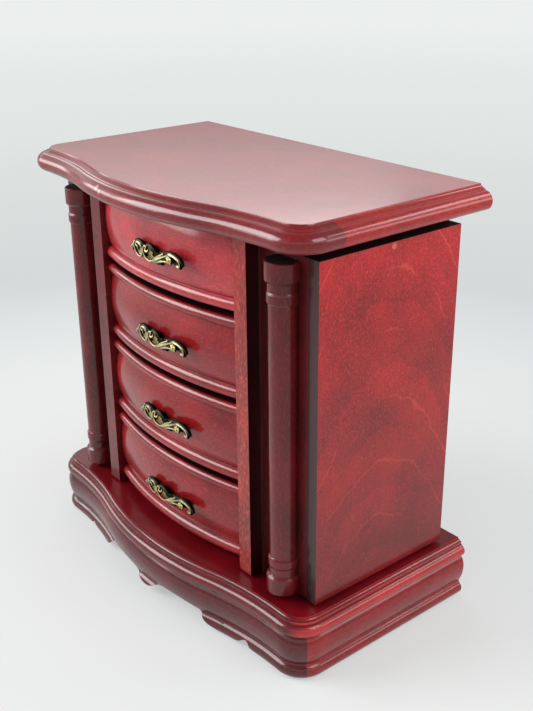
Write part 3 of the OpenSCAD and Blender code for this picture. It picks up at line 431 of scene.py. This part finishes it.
# The scroll pulls. Each strand is a centre line in mm: along the pull, up, out from its back, and its radius
# there. The first number is how far the black is rubbed from the strand's outward side
STRANDS = [
    (0.86, [(-18.9, -0.6, 3.0, 0.8), (-17.7, 0.7, 3.4, 0.9), (-18.6, 2.3, 3.5, 0.85), (-20.6, 2.0, 3.4, 0.75),
            (-21.0, 3.6, 3.3, 0.75), (-18.9, 4.9, 3.4, 0.85), (-15.6, 4.4, 3.4, 0.95),
            (-13.2, 1.4, 3.3, 0.95), (-13.4, -2.6, 3.1, 0.9), (-15.6, -5.6, 2.9, 0.9),
            (-18.6, -5.8, 2.8, 0.9), (-21.4, -3.4, 2.8, 0.85), (-22.6, 0.2, 2.9, 0.9),
            (-23.4, 3.0, 2.9, 0.95), (-22.6, 5.0, 2.5, 0.7)]),
    (0.8, [(-25.6, -3.0, 1.6, 0.7), (-27.5, -1.9, 2.1, 1.05), (-27.1, -0.2, 2.3, 1.0),
           (-25.2, 1.0, 2.4, 0.85), (-23.6, 3.0, 2.5, 0.8)]),
    (0.5, [(-26.0, -2.2, 1.6, 1.5), (-24.6, -0.6, 1.6, 1.5), (-23.9, 1.4, 1.6, 1.2)]),
    (0.3, [(-23.0, 4.6, 1.9, 1.1), (-20.0, 6.1, 2.3, 1.4), (-16.6, 6.3, 2.5, 1.5), (-13.4, 5.0, 2.4, 1.5),
           (-11.4, 2.8, 2.1, 1.2), (-10.8, 0.6, 1.8, 0.8)]),
    (0.45, [(-21.6, 5.9, 2.5, 0.6), (-17.8, 7.0, 3.0, 0.8), (-14.0, 6.2, 3.0, 0.8), (-11.2, 4.0, 2.6, 0.6)]),
    (0.9, [(-5.2, 2.7, 4.0, 0.8), (-6.0, 1.0, 4.2, 1.0), (-8.2, 0.6, 4.3, 1.1), (-9.0, 2.3, 4.1, 0.8),
           (-7.2, 4.3, 4.1, 0.85), (-9.4, 4.9, 4.0, 0.9), (-11.7, 2.6, 3.7, 0.9), (-12.1, -0.9, 3.5, 0.9),
           (-10.6, -4.0, 3.4, 0.9), (-7.6, -6.0, 3.3, 0.95), (-4.0, -6.0, 3.4, 0.95), (-1.2, -4.2, 3.6, 0.9),
           (2.6, -1.0, 3.9, 0.85), (6.4, 1.6, 3.8, 0.75), (9.6, 3.3, 3.4, 0.5)]),
    (0.35, [(-9.2, 4.6, 2.4, 1.2), (-6.4, 6.2, 3.0, 1.6), (-2.6, 6.4, 3.4, 1.7), (0.2, 4.6, 3.3, 1.4),
            (1.2, 2.4, 2.8, 0.9)]),
    (0.5, [(-8.2, 5.8, 3.2, 0.6), (-4.6, 7.0, 4.0, 0.8), (-1.2, 6.0, 4.3, 0.8), (0.9, 3.6, 3.7, 0.5)]),
    (0.4, [(-5.6, 4.0, 3.6, 0.9), (-3.0, 4.6, 4.3, 1.0), (-1.0, 3.0, 4.0, 0.8), (-0.2, 1.2, 3.4, 0.5)]),
    (0.88, [(-3.4, -6.2, 3.0, 0.8), (0.4, -4.2, 3.8, 0.95), (5.0, -1.6, 4.0, 0.95), (9.4, 0.8, 3.7, 0.8),
            (12.6, 2.8, 3.2, 0.5)]),
    (0.82, [(-2.4, -6.8, 2.6, 0.8), (3.0, -4.6, 3.2, 1.0), (8.0, -2.6, 3.2, 0.95), (12.6, -1.7, 2.9, 0.8),
            (16.6, -1.9, 2.6, 0.6)]),
    (0.7, [(-2.6, -6.6, 2.0, 0.9), (0.2, -7.0, 2.2, 1.15), (2.6, -6.2, 2.2, 0.9)]),
    (0.2, [(1.6, -4.8, 1.8, 1.3), (4.6, -5.6, 2.1, 1.5), (7.4, -5.2, 1.9, 1.1)]),
    (0.15, [(-1.6, -3.0, 1.8, 1.6), (4.0, -1.4, 2.0, 1.9), (10.0, 1.2, 2.0, 1.9), (15.0, 2.4, 1.9, 1.7)]),
    (0.3, [(5.4, 3.0, 2.2, 0.9), (10.0, 4.4, 2.6, 1.2), (15.0, 5.4, 2.7, 1.4), (20.4, 5.9, 2.6, 1.5),
           (25.2, 4.4, 2.4, 1.4), (28.2, 1.8, 2.2, 1.2), (28.6, -0.8, 1.9, 0.9)]),
    (0.85, [(14.0, 3.4, 3.2, 0.6), (15.6, 4.6, 3.6, 0.85), (18.6, 4.8, 3.7, 0.85), (21.4, 4.2, 3.6, 0.8),
            (24.4, 3.2, 3.4, 0.8), (26.6, 1.2, 3.2, 0.85), (26.8, -1.4, 3.1, 0.9), (24.8, -2.8, 3.0, 0.9),
            (22.8, -1.9, 2.9, 0.8)]),
    (0.6, [(24.0, -0.4, 2.4, 1.2), (25.2, -2.0, 2.4, 1.4), (26.8, -3.0, 2.1, 1.0)]),
    (0.15, [(-14.6, -3.6, 1.8, 1.2), (-12.6, -4.4, 1.9, 1.3), (-10.4, -3.0, 1.9, 1.2)]),
]
# the cast ground behind the strands, seen only as dark wall and hollow
GROUND = [(-26.0, -1.6), (-22.6, 4.6), (-17.0, 6.0), (-12.0, 4.0), (-8.0, 5.6), (-2.0, 5.8), (2.0, 2.4),
          (8.0, 2.4), (14.0, 4.2), (20.5, 5.2), (26.0, 3.6), (28.0, 0.6), (27.0, -2.2), (23.0, -1.2),
          (18.0, -1.8), (11.0, -2.4), (6.0, -5.0), (1.0, -6.2), (-5.0, -5.6), (-10.0, -3.8), (-14.0, -4.4),
          (-18.0, -5.4), (-21.6, -3.2)]
# the flower near the right end: a ring of petals round a disc, and a raised centre
FLOWER = (17.5, 1.2)
PETALS, PETAL_RING, PETAL_OUT, PETAL_RADIUS, PETAL_FLAT = 5, 1.9, 4.5, 1.3, 0.75
DISC_OUT, DISC_RADIUS, DISC_FLAT = 3.0, 2.3, 0.7
CENTRE_OUT, CENTRE_RADIUS = 5.1, 1.0
# how far the black is rubbed from the ground, petals, disc and centre
GROUND_RUBBED, PETAL_RUBBED, DISC_RUBBED, CENTRE_RUBBED = 0.05, 1.0, 0.3, 1.15
GROUND_OUT, GROUND_THICKNESS = 0.5, 1.5
# the casting's finest detail, and how far a surface must face out to be rubbed, from a little to all the way
CAST_DETAIL = 0.27
RUB_FROM, RUB_TO, WALL_SHARE = 0.55, 0.97, 0.12
# the feet: how far from the middle, then radius and reach from front to back of each collar and stud
FEET_AT = (-17.0, 17.0)
COLLAR, STUD = (3.0, -60.9, -58.6), (1.6, -58.8, -49.6)
# where a pull sits: its middle from the box's, its height over its front's lower edge, and where its back is
PULL_MIDDLE, PULL_RISE, PULL_BACK = 8.0, 24.0, -60.6
# the drawn heights and radii, eased to the slighter casting in the photograph
PULL_SQUAT, STRAND_SHARE = 0.84, 0.9
PULLS = (("false_front_pull", "false_front", "cabinet"),
         ("drawer_2_pull", "drawer_2_front", "drawer_2"),
         ("drawer_3_pull", "drawer_3_front", "drawer_3"),
         ("drawer_4_pull", "drawer_4_front", "drawer_4"))


def at_pull(along, up, out):
    """A place on the pull, from mm along, up and out of its back."""
    return Vector((along * MM, -out * MM, PULL_SQUAT * up * MM))


def strand(points):
    """One rounded strand of the casting, thick and thin along its length."""
    bpy.ops.curve.primitive_nurbs_path_add()
    piece = bpy.context.object
    curve = piece.data
    curve.splines.clear()
    curve.dimensions = "3D"
    curve.bevel_depth = MM
    curve.bevel_resolution = 3
    curve.resolution_u = 5
    curve.use_fill_caps = True
    line = curve.splines.new("NURBS")
    line.points.add(len(points) - 1)
    for knot, (along, up, out, radius) in zip(line.points, points):
        knot.co = at_pull(along, up, out).to_4d()
        knot.radius = STRAND_SHARE * radius
    line.order_u = 3
    line.use_endpoint_u = True
    bpy.ops.object.convert(target="MESH")
    return bpy.context.object


def ball(along, up, out, radius, flat=1.0):
    """A ball on the pull, flattened from front to back."""
    bpy.ops.mesh.primitive_uv_sphere_add(segments=20, ring_count=12, radius=radius * MM)
    piece = bpy.context.object
    for vertex in piece.data.vertices:
        vertex.co.y *= flat
        vertex.co += at_pull(along, up, out)
    return piece


def ground_plate():
    """The cast ground behind the strands, as a plate of its outline."""
    bpy.ops.mesh.primitive_circle_add(vertices=len(GROUND), radius=MM, fill_type="NGON")
    piece = bpy.context.object
    for vertex, (along, up) in zip(piece.data.vertices, GROUND):
        vertex.co = at_pull(along, up, GROUND_OUT)
    bpy.ops.object.mode_set(mode="EDIT")
    bpy.ops.mesh.select_all(action="SELECT")
    bpy.ops.mesh.extrude_region_move(TRANSFORM_OT_translate={"value": (0, -GROUND_THICKNESS * MM, 0)})
    bpy.ops.mesh.select_all(action="SELECT")
    bpy.ops.mesh.normals_make_consistent(inside=False)
    bpy.ops.object.mode_set(mode="OBJECT")
    return piece


def flower():
    """The flower's petals, disc and centre, each with how far it is rubbed."""
    along, up = FLOWER
    parts = []
    for petal in range(PETALS):
        angle = math.radians(90 + 360 / PETALS * petal)
        place = (along + PETAL_RING * math.cos(angle), up + PETAL_RING * math.sin(angle), PETAL_OUT)
        parts.append((PETAL_RUBBED, ball(*place, PETAL_RADIUS, PETAL_FLAT)))
    parts.append((DISC_RUBBED, ball(along, up, DISC_OUT, DISC_RADIUS, DISC_FLAT)))
    parts.append((CENTRE_RUBBED, ball(along, up, CENTRE_OUT, CENTRE_RADIUS)))
    return parts


def joined(pieces, name):
    """The pieces as one object of that name."""
    bpy.ops.object.select_all(action="DESELECT")
    for piece in pieces:
        piece.select_set(True)
    bpy.context.view_layer.objects.active = pieces[0]
    if len(pieces) > 1:
        bpy.ops.object.join()
    pieces[0].name = pieces[0].data.name = name
    return pieces[0]


def finish_modifier(piece, kind, **settings):
    """Adds one modifier, sets it and applies it."""
    bpy.ops.object.select_all(action="DESELECT")
    piece.select_set(True)
    bpy.context.view_layer.objects.active = piece
    bpy.ops.object.modifier_add(type=kind)
    modifier = piece.modifiers[-1]
    for key, value in settings.items():
        setattr(modifier, key, value)
    bpy.ops.object.modifier_apply(modifier=modifier.name)


def cast_pull():
    """The pull as one casting, with how far each place is rubbed kept as an attribute."""
    made = [(bright, strand(points)) for bright, points in STRANDS]
    made.append((GROUND_RUBBED, ground_plate()))
    made += flower()
    known = [(vertex.co.copy(), bright) for bright, piece in made for vertex in piece.data.vertices]
    nearest = kdtree.KDTree(len(known))
    for index, (place, bright) in enumerate(known):
        nearest.insert(place, index)
    nearest.balance()
    casting = joined([piece for bright, piece in made], "scroll_pull_pattern")
    finish_modifier(casting, "REMESH", mode="VOXEL", voxel_size=CAST_DETAIL * MM)
    finish_modifier(casting, "SMOOTH", factor=0.5, iterations=3)
    bpy.ops.object.shade_smooth()
    mesh = casting.data
    rubbed = mesh.attributes.new("rubbed", "FLOAT", "POINT")
    for vertex in mesh.vertices:
        bright = known[nearest.find(vertex.co)[1]][1]
        outward = max(0.0, -vertex.normal.y)
        facing = min(1.0, max(0.0, (outward - RUB_FROM) / (RUB_TO - RUB_FROM)))
        rubbed.data[vertex.index].value = bright * (WALL_SHARE + (1 - WALL_SHARE) * facing)
    return casting


def pull_feet():
    """The two collars and studs that carry the casting."""
    feet = []
    for side in FEET_AT:
        for radius, start, end in (COLLAR, STUD):
            bpy.ops.mesh.primitive_cylinder_add(vertices=32, radius=radius * MM, depth=(end - start) * MM)
            foot = bpy.context.object
            foot.data.transform(Matrix.Rotation(math.pi / 2, 4, "X"))
            foot.data.transform(Matrix.Translation(Vector((side, (start + end) / 2 - PULL_BACK, 0)) * MM))
            finish_modifier(foot, "BEVEL", width=0.25 * MM, segments=2)
            feet.append(foot)
    return joined(feet, "pull_feet")


def place_pulls():
    """One pattern, copied to each front."""
    casting = joined([cast_pull(), pull_feet()], "scroll_pull_pattern")
    casting.data.materials.clear()
    casting.data.materials.append(cast_brass)
    for node, front, body in PULLS:
        pull = bpy.data.objects.new(node + "_casting", casting.data.copy())
        bpy.context.collection.objects.link(pull)
        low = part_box(front)[0][2]
        place = Vector((PULL_MIDDLE * MM, PULL_BACK * MM, low + PULL_RISE * MM))
        pull.data.transform(Matrix.Translation(place))
        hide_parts(node)
        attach(pull, body)
    bpy.data.objects.remove(casting)


# Soft furnishings
# the ring rolls: how many, how blunt their ends are and how far their rings are drawn towards them, how
# much of their room they fill side by side, and their creases' count and depth
ROLL_COUNT, ROLL_BLUNTNESS, RING_SPREAD, ROLL_WIDTH, CREASES, CREASE_DEPTH = 5, 7, 0.62, 0.985, 6, 0.012
# how far a roll wanders sideways and up, in mm
ROLL_WANDER, ROLL_LIFT = 0.25, 0.2
# edges of the bed and divider, and the lumps of their velvet, in mm
BED_ROUND, DIVIDER_ROUND, COVER_LUMPS = 2.5, 1.2, 0.08
# linings in mm: thickness and rolled rim, the floor's crown, and how far from the walls it is reached
CARD_THICKNESS, RIM_ROUND, FLOOR_CROWN, CROWN_REACH = 0.9, 0.4, 0.35, 12
# how many lumps there are to a metre in the foam blocks, and in the rolls and linings
FOAM_LUMPS, SOFT_LUMPS = 160, 90


def velvet_piece(piece, node, body):
    """Gives a soft piece its velvet and lets it stand for its node."""
    piece.name = piece.data.name = node + "_velvet"
    piece.data.materials.clear()
    piece.data.materials.append(velvet)
    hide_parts(node)
    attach(piece, body)


def cube_in(low, high):
    """A cube stretched to the box between two corners."""
    bpy.ops.mesh.primitive_cube_add(size=1)
    piece = bpy.context.object
    for vertex in piece.data.vertices:
        vertex.co = Vector([(low[a] + high[a]) / 2 + vertex.co[a] * (high[a] - low[a]) for a in range(3)])
    return piece


def ring_rolls():
    """Stuffed rolls side by side, drawn in at their ends and flat where they rest on the bed."""
    low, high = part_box("ring_rolls")
    radius = (high[2] - low[2]) / 2
    pitch = (high[1] - low[1] - 2 * radius) / (ROLL_COUNT - 1)
    half = (high[0] - low[0]) / 2
    rolls = []
    for number in range(ROLL_COUNT):
        bpy.ops.mesh.primitive_uv_sphere_add(segments=40, ring_count=40, radius=1)
        roll = bpy.context.object
        middle = Vector(((low[0] + high[0]) / 2, low[1] + radius + number * pitch, low[2] + radius))
        for vertex in roll.data.vertices:
            across, up, along = vertex.co
            swell = max(1e-6, 1 - along * along) ** 0.5
            round_end = (1 - abs(along) ** ROLL_BLUNTNESS) ** 0.5 / swell
            crease = 1 - CREASE_DEPTH * math.cos(CREASES * math.pi * along) ** 8
            point = Vector((half * math.copysign(abs(along) ** RING_SPREAD, along),
                            ROLL_WIDTH * radius * round_end * crease * across,
                            radius * round_end * crease * up))
            wobble = noise.noise(point * SOFT_LUMPS + Vector((0, 7 * number, 0)))
            point.y += ROLL_WANDER * MM * wobble
            point.z = max(point.z + ROLL_LIFT * MM * wobble * (1 - abs(up)), -radius)
            vertex.co = middle + point
        rolls.append(roll)
    piece = joined(rolls, "rolls")
    bpy.ops.object.shade_smooth()
    velvet_piece(piece, "ring_rolls", "cabinet")


def covered_block(node, body, round_mm):
    """Foam or board under velvet: rounded edges, and faces that are never quite flat."""
    piece = cube_in(*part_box(node))
    finish_modifier(piece, "BEVEL", width=round_mm * MM, segments=3)
    bpy.ops.object.mode_set(mode="EDIT")
    bpy.ops.mesh.select_all(action="SELECT")
    bpy.ops.mesh.subdivide(number_cuts=14)
    bpy.ops.object.mode_set(mode="OBJECT")
    outward = [vertex.normal.copy() for vertex in piece.data.vertices]
    for vertex, normal in zip(piece.data.vertices, outward):
        lumps = noise.noise(vertex.co * FOAM_LUMPS)
        vertex.co -= normal * MM * COVER_LUMPS * (1 + lumps)
    bpy.ops.object.shade_smooth()
    velvet_piece(piece, node, body)


def lined_tray(node, body):
    """A velvet tray lining: four walls and a floor of cloth on card, with round corners and a rolled rim."""
    low, high = (Vector(corner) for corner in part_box(node))
    piece = cube_in(low, high)
    bpy.ops.object.mode_set(mode="EDIT")
    bpy.ops.mesh.select_all(action="DESELECT")
    bpy.ops.object.mode_set(mode="OBJECT")
    for face in piece.data.polygons:
        face.select = face.normal.z > 0.9
    bpy.ops.object.mode_set(mode="EDIT")
    bpy.ops.mesh.delete(type="ONLY_FACE")
    bpy.ops.mesh.select_all(action="SELECT")
    bpy.ops.mesh.subdivide(number_cuts=24)
    bpy.ops.object.mode_set(mode="OBJECT")
    finish_modifier(piece, "SOLIDIFY", thickness=CARD_THICKNESS * MM, offset=-1, use_even_offset=True)
    # only the floor's upper side, which is found by its place, is crowned
    skin = CARD_THICKNESS / 3 * MM
    for vertex in piece.data.vertices:
        place = vertex.co
        fall = min(place.x - low.x, high.x - place.x, place.y - low.y, high.y - place.y)
        if fall > skin and low.z + skin < place.z < low.z + 2 * MM:
            rise = min(1.0, fall / (CROWN_REACH * MM)) * (0.6 + 0.4 * noise.noise(place * SOFT_LUMPS))
            vertex.co.z += FLOOR_CROWN * MM * rise
    finish_modifier(piece, "BEVEL", width=RIM_ROUND * MM, segments=2, limit_method="ANGLE")
    bpy.ops.object.shade_smooth()
    velvet_piece(piece, node, body)


# The stage: a pale seamless floor, lamps and camera
CAMERA_AZIMUTH, CAMERA_ELEVATION, CAMERA_ROLL = math.radians(50.82), math.radians(23.19), math.radians(-0.56)
CAMERA_PLACE = Vector((512.25, -387.58, 430.73)) * MM
PHOTO_HEIGHT, FOCAL_PX, SENSOR = 711, 1018.6, 36
WALL_COLOUR = "#eaecec"
# each lamp: its place and what it faces in metres, its width and height, and its power in watts
LAMPS = {
    "ceiling_softbox": ((0.5, 0.9, 1.0), (0.05, 0, 0.25), (0.5, 0.22), 1.7),
    "front_left_softbox": ((-0.75, -0.95, 0.9), (0, -0.05, 0.22), (0.9, 0.62), 13.5),
    "back_left_softbox": ((-1.3, 0.85, 0.92), (0, 0, 0.28), (1.0, 0.3), 2.0),
    "right_softbox": ((0.75, 0.15, 0.8), (0.12, 0, 0.15), (0.5, 0.4), 3.2),
    "back_right_card": ((0.95, 0.8, 0.5), (0.14, 0, 0.1), (0.6, 0.3), 1.6),
    "front_left_card": ((-1.0, -0.72, 0.47), (0, -0.05, 0.22), (1.0, 0.32), 4.6),
}
# the floor's painted shade by distance from the object, as a share of the ramp's reach in metres: a grey band
# where the light falls off
FLOOR_REACH = 4.0
FLOOR_NEAR, FLOOR_FAR = "#e8eae9", "#ecefee"
FLOOR_PAINTED_SHADES = ((0.08, "#eaecec"), (0.16, "#d5d9d9"), (0.4, "#e0e5e4"))
# the room's brightness by height, from level to straight up
ROOM_LEVEL, ROOM_OVERHEAD = [0.34, 0.35, 0.35, 1], [0.3, 0.31, 0.31, 1]
ROOM_SHADES = ((0.1, 0.3), (0.17, 0.22), (0.2, 0.72), (0.235, 1.45), (0.36, 1.3), (0.6, 0.38))


def camera_axes():
    """The camera's right, up and back directions."""
    back = Vector((math.sin(CAMERA_AZIMUTH) * math.cos(CAMERA_ELEVATION),
                   -math.cos(CAMERA_AZIMUTH) * math.cos(CAMERA_ELEVATION), math.sin(CAMERA_ELEVATION)))
    right = Vector((0, 0, 1)).cross(back).normalized()
    up = back.cross(right)
    c, s = math.cos(CAMERA_ROLL), math.sin(CAMERA_ROLL)
    return c * right + s * up, -s * right + c * up, back


def place_camera():
    """A camera where the photograph was taken from."""
    bpy.ops.object.camera_add(location=CAMERA_PLACE)
    camera = bpy.context.object
    right, up, back = camera_axes()
    camera.rotation_euler = Matrix((right, up, back)).transposed().to_euler()
    camera.data.sensor_width = SENSOR
    camera.data.sensor_fit = "AUTO"
    camera.data.lens = FOCAL_PX / PHOTO_HEIGHT * SENSOR
    camera.data.clip_start = 0.05
    bpy.context.scene.camera = camera


# White paper, matt, with a soft band of painted shade some way round the object, and the object's own shadow
def white_paper():
    material, tree = new_material("white_paper")
    place = add(tree, "TexCoord").outputs["Object"]
    fibre = add(tree, "TexNoise", None, {"Vector": place, "Scale": feature(333), "Detail": 2})
    colour = add(tree, "Mix", {"data_type": "RGBA"},
                 {0: fibre.outputs["Fac"], 6: linear("#e6e9e8"), 7: linear("#eaecec")})
    paper = add(tree, "BsdfPrincipled", None,
                {"Base Color": colour.outputs[2], "Roughness": 0.8, "Specular IOR Level": 0.2})
    away = add(tree, "VectorMath", {"operation": "LENGTH"}, {0: place}).outputs["Value"]
    reach = add(tree, "MapRange", None, {0: away, 1: 0.0, 2: FLOOR_REACH})
    tint = add(tree, "ValToRGB", None, {"Fac": reach})
    stops = tint.color_ramp.elements
    stops[0].color, stops[0].position = linear(FLOOR_NEAR), 0.0
    stops[1].color, stops[1].position = linear(FLOOR_FAR), 1.0
    for at, pale in FLOOR_PAINTED_SHADES:
        stops.new(at).color = linear(pale)
    # what the camera and mirrors see turns from lit paper near the object to a glow farther off, which
    # carries the band of painted shade
    path = add(tree, "LightPath").outputs
    level = add(tree, "MapRange", None, {0: path["Is Glossy Ray"], 3: 1.0, 4: 0.72})
    glow = add(tree, "Emission", None, {"Color": tint, "Strength": level})
    seen = add(tree, "Math", {"operation": "MAXIMUM"}, {0: path["Is Camera Ray"], 1: path["Is Glossy Ray"]})
    seen = add(tree, "Math", {"operation": "MAXIMUM"}, {0: seen, 1: path["Is Transmission Ray"]})
    far = add(tree, "MapRange", None, {0: away, 1: 0.25, 2: 0.7, 3: 0.5, 4: 1.0})
    share = add(tree, "Math", {"operation": "MULTIPLY"}, {0: seen, 1: far})
    surface = add(tree, "MixShader", None, {0: share, 1: paper, 2: glow})
    add(tree, "OutputMaterial", None, {"Surface": surface})
    return material


def studio_floor():
    """A pale paper floor that keeps the object's shadow."""
    bpy.ops.mesh.primitive_plane_add(size=24, location=(0, 0, 0))
    floor = bpy.context.object
    floor.name = "paper_floor"
    floor.data.materials.append(white_paper())


def softbox(name, place, target, size, power):
    """A rectangular lamp at one place, facing another."""
    bpy.ops.object.light_add(type="AREA", location=place)
    lamp = bpy.context.object
    lamp.name = name
    lamp.data.shape = "RECTANGLE"
    lamp.data.size, lamp.data.size_y = size
    lamp.data.energy = power
    lamp.rotation_euler = (Vector(place) - Vector(target)).to_track_quat("Z", "Y").to_euler()


def studio_world():
    """Pale walls, brightest a little above level, that look even to the camera."""
    world = bpy.data.worlds.new("pale_room")
    bpy.context.scene.world = world
    world.use_nodes = True
    tree = world.node_tree
    tree.nodes.clear()
    way = add(tree, "TexCoord").outputs["Generated"]
    height = add(tree, "SeparateXYZ", None, {0: way})
    ramp = add(tree, "ValToRGB", None, {"Fac": height.outputs["Z"]})
    stops = ramp.color_ramp.elements
    stops[0].color, stops[0].position = ROOM_LEVEL, 0.0
    stops[1].color, stops[1].position = ROOM_OVERHEAD, 1.0
    for at, level in ROOM_SHADES:
        stops.new(at).color = [level, level * 1.01, level * 1.01, 1]
    walls = add(tree, "Background", None, {"Color": ramp, "Strength": 0.8})
    seen_wall = add(tree, "Background", None, {"Color": linear(WALL_COLOUR), "Strength": 1.0})
    path = add(tree, "LightPath")
    sky = add(tree, "MixShader", None, {0: path.outputs["Is Camera Ray"], 1: walls, 2: seen_wall})
    add(tree, "OutputWorld", None, {"Surface": sky})


bpy.ops.object.select_all(action="DESELECT")
place_pulls()
ring_rolls()
covered_block("ring_roll_bed", "cabinet", BED_ROUND)
covered_block("compartment_divider", "cabinet", DIVIDER_ROUND)
for lining, carrier in (("compartment_lining", "cabinet"), ("drawer_2_lining", "drawer_2"),
                        ("drawer_3_lining", "drawer_3"), ("drawer_4_lining", "drawer_4")):
    lined_tray(lining, carrier)
place_camera()
studio_floor()
studio_world()
for lamp_name, lamp_settings in LAMPS.items():
    softbox(lamp_name, *lamp_settings)
bpy.context.scene.view_settings.view_transform = "Standard"
